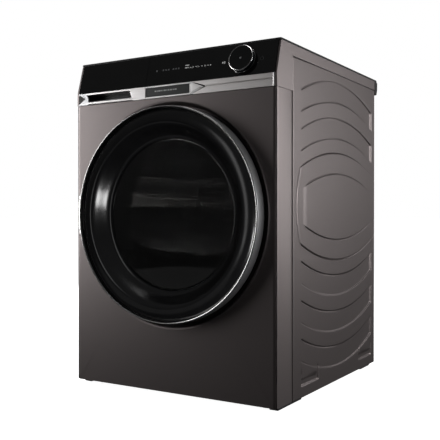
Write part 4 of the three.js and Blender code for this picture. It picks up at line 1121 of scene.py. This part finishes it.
def drum():
    """The drum: rolled front lip, beaded wall, and a back plate with rings of air holes."""
    front, back = DRUM_Y
    t = 1.2
    outer = [(222.2, front + 2.4, 0.5), (222.2, front, 1.2), (268, front, 6), (DRUM_R - 0.2, front + 10, 4)]
    for bead in BEADS:
        outer += bead_profile(DRUM_R - 0.2, bead, 1)
    outer += [(DRUM_R - 0.2, back - 0.3, 3), (240, back - 0.3, 3), (228, back - 0.3, 3), (0, back - 0.3)]
    inner = [(0, back - 2.2), (228, back - 2.2, 3), (240, back - 2.2, 3), (DRUM_R - 2.3 - t, back - 2.4, 4)]
    for bead in reversed(BEADS):
        inner += bead_profile(DRUM_R - 1.6 - t, bead, -1)
    inner += [(DRUM_R - 1.6 - t, front + 11, 4), (267, front + 2.4, 5)]
    profile = rounded(outer + inner, 4)
    turned_piece("drum_drum", profile, DRUM, 176, STAINLESS, "stainless", "drum", ["drum_shell"])
    form = Form()
    plate_y = back - 2.3
    for ring, (radius, count) in enumerate(HOLE_RINGS):
        for i in range(count):
            a = 2 * math.pi * (i + 0.5 * (ring % 2)) / count
            hole = circle(3.6, (radius * math.cos(a), DRUM_Z + radius * math.sin(a)), 14)
            form.prism(hole, FRONT, -plate_y, -plate_y + 0.25)
    add_piece("drum_air_holes", form, BLACK_PLASTIC, "stainless", "drum")
    cap = rounded([(0, plate_y), (34, plate_y), (33, plate_y - 3, 2), (16, plate_y - 6, 3), (0, plate_y - 7)])
    turned_piece("drum_hub_cap", cap, DRUM, 96, STAINLESS, "stainless", "drum")
    shaft = rounded(
        [(0, back + 0.3), (45, back + 0.3), (45, back + 3, 0.8), (11, back + 5, 3), (10, back + 10, 2),
         (10, 604, 1), (0, 604)]
    )
    turned_piece("drum_axle", shaft, DRUM, 64, STAINLESS, "stainless", "drum", ["drum_shaft"])


LIFTER_TURN = -0.297  # how far the first lifter rests from the drum's lowest point, in radians


def lifter(index):
    """A lifting rib: broad at the drum wall and narrow at its crest, tapering down at both ends."""
    angle = index * 2 * math.pi / 3 + LIFTER_TURN
    cos, sin = math.cos(angle), math.sin(angle)
    seat = DRUM_R - 5.0
    y0, y1 = 112.5, 531.5
    rows = []
    for t in np.linspace(0, 1, 41):
        rise = min(1.0, math.sin(math.pi * min(t, 1 - t) * 2.6) if min(t, 1 - t) < 0.192 else 1.0)
        y = y0 + (y1 - y0) * t
        height = 3.0 + 56.0 * rise
        twist = 4.0 * math.sin(math.pi * t)
        row = []
        for s in np.linspace(-1, 1, 25):
            width = 45.0 * s
            base = seat - (seat - math.sqrt(seat**2 - width**2)) - 0.6
            lift = height * math.exp(-((abs(s) * 2.3) ** 2.2))
            x, z = width + twist * (lift / 60), -(base - lift)
            row.append((x * cos + z * sin, y, DRUM_Z - x * sin + z * cos))
        rows.append(row)
    form = Form()
    form.grid([[at(*p) for p in row] for row in rows])
    number = index + 1
    add_piece(
        f"lifter_rib_{number}", form, DARK_GREY, "grey_plastic", "drum", [f"drum_lifter_{number}"],
        crease=70, solid=1.6,
    )


def rollers():
    for word in ("left", "right"):
        node, body = f"drum_roller_{word}", f"roller_{word}"
        centre = node_centre(node)
        tyre = rounded_loop([(17, -9, 1), (22, -10, 2), (25, -7, 2), (25, 7, 2), (22, 10, 2), (17, 9, 1)])
        turned_piece(f"roller_tyre_{word}", tyre, centre, 64, RUBBER, "rubber", body, [node])
        hub = rounded_loop([(5.4, -9, 0.5), (16.8, -8, 1), (16.8, 8, 1), (5.4, 9, 0.5)])
        turned_piece(f"roller_hub_{word}", hub, centre, 48, GREY_PLASTIC, "grey_plastic", body)


mouth()
lint_filter()
seals()
drum()
for index in range(3):
    lifter(index)
rollers()

# ---------------------------------------------------------------- water drawer behind its front


def water_tank():
    low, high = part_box("water_tank")
    x = (low.x / MM + 0.2, high.x / MM - 0.2)
    form = Form()
    form.slab(x, (40.2, 479.8), (758.7, 829), bevel=7, steps=5)
    for y in (110, 190, 270, 350):
        form.slab((x[0] + 12, x[1] - 12), (y, y + 26), (824, 831.8), bevel=2.5)
    collar = rounded_loop([(20, 0, 0.5), (26, 0, 1), (26, 2.8, 1.4), (20, 2.8, 0.8)])
    form.turned(collar, (-195, 422, 829), UP, 56)
    sloped = rounded_loop([(8.2, 771, 1), (29, 838, 1), (24, 839.4, 1), (3.9, 771, 1)])
    form.prism(sloped, SIDE, x[0] + 1, x[1] - 1, bevel=0.6)
    form.slab((x[0] + 4, x[1] - 4), (8, 46), (770.5, 775.5), bevel=1.2)
    form.slab((x[0] + 20, x[1] - 20), (34.6, 44), (759, 767), bevel=1.0)
    add_piece("tank_body", form, TANK_WHITE, "tank_plastic", "drawer", ["water_tank"])
    form = Form()
    cap = rounded([(0, 829.2), (19.6, 829.2), (19.6, 830.6, 0.8), (0, 830.6)])
    form.turned(cap, (-195, 422, 0), UP, 48)
    add_piece("tank_cap", form, DARK_GREY, "grey_plastic", "drawer")


water_tank()

# ---------------------------------------------------------------- back of the machine


def rear():
    """The back sheet with its stiffening ribs, vents and screws."""
    low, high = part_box("rear_panel")
    w = high.x / MM
    z0, z1 = low.z / MM, high.z / MM
    form = Form()
    form.slab((-w, w), (629.0, 630.8), (z0, z1), bevel=0.6)
    for x in (-250, 235):
        form.slab((x, x + 15), (629.5, 632.4), (60, 780), bevel=1.3)
    for z in (120, 765):
        form.slab((-228, 228), (629.5, 632.0), (z, z + 10), bevel=1.1)
    add_piece("back_sheet", form, ZINC, "zinc_sheet", stands_for=["rear_panel"])
    form = Form()
    for row in range(4):
        for i in range(-5, 6):
            z = 52 + row * 14
            form.slab((i * 26 - 9, i * 26 + 9), (630.2, 631.4), (z, z + 5), bevel=0.5)
    add_piece("back_vents", form, BLACK_PLASTIC, "black_plastic")
    form = Form()
    for x in (-w + 9, w - 9):
        for z in np.linspace(z0 + 18, z1 - 14, 6):
            pan_screw(form, (x, 631.0, z), (0, 1, 0), 4.4)
    for x in (-200, -70, 70, 200):
        pan_screw(form, (x, 631.0, z1 - 10), (0, 1, 0), 4.4)
    add_piece("back_screws", form, STAINLESS, "stainless")


def duct_cover():
    dome = rounded(
        [(228, 631.2), (228, 634.0, 1), (219, 635.2, 3), (208, 652.0, 9), (190, 653, 4), (160, 653, 4),
         (150, 649, 4), (70, 649, 4), (60, 653, 4), (0, 653)], 6
    )
    shell = [*dome, (0, 650.0), (204, 648.0), (216, 632.0)]
    turned_piece("duct_cover", shell, DRUM, 176, ZINC, "zinc_sheet", stands_for=["rear_duct_cover"])
    form = Form()
    for i in range(24):
        a = i * math.pi / 12
        u, v = math.cos(a), math.sin(a)
        slot = ((174, -4), (186, -4), (186, 4), (174, 4))
        outline = [(u * r - v * s, DRUM_Z + v * r + u * s, 3) for r, s in slot]
        form.prism(rounded_loop(outline, 4), FRONT, -653.2, -652.0, bevel=0.2)
    add_piece("duct_slots", form, BLACK_PLASTIC, "zinc_sheet")
    form = Form()
    for i in range(8):
        a = (i + 0.5) * math.pi / 4
        pan_screw(form, (223.5 * math.cos(a), 634.3, DRUM_Z + 223.5 * math.sin(a)), (0, 1, 0), 4.2)
    add_piece("duct_screws", form, STAINLESS, "stainless")


def mains_socket():
    low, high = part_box("mains_inlet")
    x = (low.x / MM, high.x / MM)
    z = (low.z / MM, high.z / MM)
    middle_x, _, middle = node_centre("mains_inlet")
    form = Form()
    form.slab(x, (631.0, 636), z, bevel=1.4)
    wall = 3.0
    box_x, box_z = (x[0] + 8, x[1] - 8), (middle - 14, middle + 14)
    form.slab(box_x, (635, 646), (box_z[0], box_z[0] + wall), bevel=0.8)
    form.slab(box_x, (635, 646), (box_z[1] - wall, box_z[1]), bevel=0.8)
    form.slab((box_x[0], box_x[0] + wall), (635, 646), box_z, bevel=0.8)
    form.slab((box_x[1] - wall, box_x[1]), (635, 646), box_z, bevel=0.8)
    add_piece("mains_socket", form, BLACK_PLASTIC, "black_plastic", stands_for=["mains_inlet"])
    form = Form()
    for dx, dz in ((-7, -3), (7, -3), (0, 4)):
        across, up = middle_x + dx, middle + dz
        form.slab((across - 1, across + 1), (635.5, 643), (up - 2.5, up + 2.5), bevel=0.4)
    add_piece("mains_pins", form, STAINLESS, "stainless")


def feet():
    words = ("front_left", "front_right", "rear_left", "rear_right")
    for i, word in enumerate(words):
        node, body = f"foot_{i + 1}", f"foot_{word}"
        x, y, _ = node_centre(node)
        centre = (x, y, 0.0)
        pad = rounded([(0, 0), (14, 0, 1), (16, 2.2, 1.2), (16, 6.6, 1.6), (12, 8, 1), (0, 8)])
        form = Form().turned(pad, centre, UP, 56)
        add_piece(f"foot_pad_{word}", form, RUBBER, "rubber", body, [node])
        form = Form()
        form.prism(circle(10.0, (x, y), count=6), TOP, 7.8, 12.0, bevel=0.5)
        threads = [(0, 11)]
        for k in range(14):
            threads += [(4.2, 12 + k * 2.1), (5.0, 13.05 + k * 2.1)]
        threads += [(4.2, 41.6), (0, 41.6)]
        form.turned(threads, centre, UP, 28)
        add_piece(f"foot_stud_{word}", form, STAINLESS, "stainless", body)


rear()
duct_cover()
mains_socket()
feet()

# ---------------------------------------------------------------- inner pieces that keep their CAD shapes

INNER_LOOKS = {
    "base_tray": BLACK_PLASTIC,
    "rear_bulkhead": ZINC,
    "control_board": BOARD,
    "tank_sleeve": GREY_PLASTIC,
    "door_lock": BLACK_PLASTIC,
    "motor_bracket": ZINC,
    "drive_belt": RUBBER,
    "evaporator": FINS,
    "condenser": FINS,
    "refrigerant_pipe": COPPER,
    "compressor": CAST,
    "condensate_pump": BLACK_PLASTIC,
    "fan_housing": GREY_PLASTIC,
    "motor_body": CAST,
    "drum_bearing": CAST,
    "motor_shaft": STAINLESS,
    "fan_impeller": GREY_PLASTIC,
    "idler_arm": ZINC,
    "idler_pulley": GREY_PLASTIC,
}
for node, look in INNER_LOOKS.items():
    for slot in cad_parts[node].material_slots:
        slot.material = look

# ---------------------------------------------------------------- studio


def area_light(name, place, target, size, power):
    data = bpy.data.lights.new(name, "AREA")
    data.shape = "RECTANGLE"
    data.size, data.size_y = size
    data.energy = power
    light = bpy.data.objects.new(name, data)
    light.location = place
    light.rotation_euler = (Vector(target) - Vector(place)).to_track_quat("-Z", "Y").to_euler()
    light.visible_camera = False
    bpy.context.collection.objects.link(light)
    return light


def lamp(name, place, power):
    data = bpy.data.lights.new(name, "POINT")
    data.energy = power
    data.shadow_soft_size = 0.012
    light = bpy.data.objects.new(name, data)
    light.location = place
    light.visible_camera = False
    bpy.context.collection.objects.link(light)
    return light


def link_light(light, objects, state):
    """Lets a light fall only on some objects, or on all but those."""
    group = bpy.data.collections.new(f"{light.name}_receivers")
    for obj in objects:
        group.objects.link(obj)
    for entry in group.collection_objects:
        entry.light_linking.link_state = state
    light.light_linking.receiver_collection = group


def from_point(base, bearing, rise, distance):
    """A place seen from base at a bearing, clockwise from +Y in degrees, and a rise in degrees."""
    b, r = math.radians(bearing), math.radians(rise)
    way = Vector((math.sin(b) * math.cos(r), math.cos(b) * math.cos(r), math.sin(r)))
    return Vector(base) + way * distance


def studio_floor():
    """A pale floor that reaches past the horizon and stays out of reflections."""
    floor = bpy.data.meshes.new("studio_floor")
    reach = 60.0
    corners = [(-reach, -reach, 0), (reach, -reach, 0), (reach, reach, 0), (-reach, reach, 0)]
    floor.from_pydata(corners, [], [(0, 1, 2, 3)])
    obj = bpy.data.objects.new("studio_floor", floor)
    bpy.context.collection.objects.link(obj)
    look = Look("studio_floor", (0.5, 0.5, 0.5), 0.9, Emission_Strength=0.99, Specular_IOR_Level=0.0)
    look.shader.inputs["Emission Color"].default_value = (1, 1, 1, 1)
    floor.materials.append(look.material)
    obj.visible_glossy = False
    obj.visible_diffuse = False


def studio_world():
    """Plain white to the camera, and a dark ramp, lighter above, to everything else."""
    world = bpy.data.worlds.new("studio")
    bpy.context.scene.world = world
    world.use_nodes = True
    tree = world.node_tree
    tree.nodes.clear()
    output = tree.nodes.new("ShaderNodeOutputWorld")
    seen = tree.nodes.new("ShaderNodeBackground")
    seen.inputs["Color"].default_value = (1, 1, 1, 1)
    lit = tree.nodes.new("ShaderNodeBackground")
    lit.inputs["Strength"].default_value = 1.0
    path = tree.nodes.new("ShaderNodeLightPath")
    mix = tree.nodes.new("ShaderNodeMixShader")
    coords = tree.nodes.new("ShaderNodeTexCoord")
    split = tree.nodes.new("ShaderNodeSeparateXYZ")
    ramp = tree.nodes.new("ShaderNodeValToRGB")
    height = tree.nodes.new("ShaderNodeMapRange")
    height.inputs["From Min"].default_value = -1.0
    tree.links.new(coords.outputs["Generated"], split.inputs["Vector"])
    tree.links.new(split.outputs["Z"], height.inputs["Value"])
    tree.links.new(height.outputs["Result"], ramp.inputs["Fac"])
    ramp.color_ramp.elements[0].position = 0.40
    ramp.color_ramp.elements[0].color = (0.02, 0.02, 0.02, 1)
    ramp.color_ramp.elements[1].position = 0.85
    ramp.color_ramp.elements[1].color = (0.10, 0.10, 0.10, 1)
    tree.links.new(ramp.outputs["Color"], lit.inputs["Color"])
    tree.links.new(path.outputs["Is Camera Ray"], mix.inputs["Fac"])
    tree.links.new(lit.outputs["Background"], mix.inputs[1])
    tree.links.new(seen.outputs["Background"], mix.inputs[2])
    tree.links.new(mix.outputs["Shader"], output.inputs["Surface"])


def studio_lights():
    """Soft cards round the machine, and cards that only the gloss black pieces receive."""
    door = at(0, 0, DOOR_Z)
    flank = at(HALF_WIDTH, 330, DOOR_Z)
    black = [obj for obj in bpy.data.objects if obj.type == "MESH" and obj.data.materials[:1] and
             obj.data.materials[0] in (BLACK_GLASS, GLOSS_BLACK, KNOB_FACE, SMOKED)]
    ring = [bpy.data.objects["door_chrome_ring"]]
    card = area_light("card_left", from_point(door, 250, 11, 2.4), door, (1.45, 1.5), 53)
    link_light(card, black, "EXCLUDE")
    card = area_light("card_right_back", from_point(flank, 68, 9, 2.6), flank, (2.9, 1.15), 66)
    link_light(card, black + [bpy.data.objects["door_ring_lip"]], "EXCLUDE")
    card = area_light("card_top", (0.0, 0.2, 2.9), (0.0, 0.0, 0.8), (1.6, 1.6), 18)
    link_light(card, [bpy.data.objects["side_sheet_left"], bpy.data.objects["side_sheet_right"]], "EXCLUDE")
    area_light("card_back_left", from_point(at(0, 330, 450), 300, 15, 2.6), at(0, 330, 450), (1.6, 1.4), 60)
    tall = area_light("tall_front", from_point(door, 190, 9, 2.2), door, (0.5, 1.5), 4.0)
    link_light(tall, black, "INCLUDE")
    strip = area_light("strip_front", from_point(door, 126, -17, 0.9), door, (0.22, 0.24), 4.0)
    link_light(strip, [bpy.data.objects["door_bezel_dish"]], "INCLUDE")
    low = area_light("low_front", from_point(door, 214, -27, 0.85), door, (0.9, 0.35), 0.12)
    link_light(low, black, "INCLUDE")
    fill = area_light("ring_fill", from_point(door, 105, 5, 2.2), door, (1.0, 1.4), 9)
    link_light(fill, ring, "INCLUDE")
    link_light(lamp("drum_lamp", at(0, 130, DOOR_Z + 185), 0.35), black, "EXCLUDE")
    link_light(lamp("mouth_lamp", at(0, 50, DOOR_Z + 195), 0.5), black, "EXCLUDE")
    ribs = [bpy.data.objects[f"lifter_rib_{number}"] for number in (1, 2, 3)]
    link_light(lamp("lifter_lamp", at(40, 240, DRUM_Z - 90), 45), ribs, "INCLUDE")


LENS = 59.32  # on a sensor 36 mm wide
EYE = (1040.1, -1446.3, 449.4)
EYE_DIP, EYE_BEARING = 0.437, 31.644  # degrees below level, and degrees round from straight on


def camera():
    data = bpy.data.cameras.new("camera")
    data.sensor_width = 36.0
    data.lens = LENS
    obj = bpy.data.objects.new("camera", data)
    obj.location = at(*EYE)
    obj.rotation_euler = (math.radians(90 - EYE_DIP), 0.0, math.radians(EYE_BEARING))
    bpy.context.collection.objects.link(obj)
    bpy.context.scene.camera = obj


studio_floor()
studio_world()
studio_lights()
camera()
bpy.context.scene.view_settings.view_transform = "Standard"

bpy.context.view_layer.update()
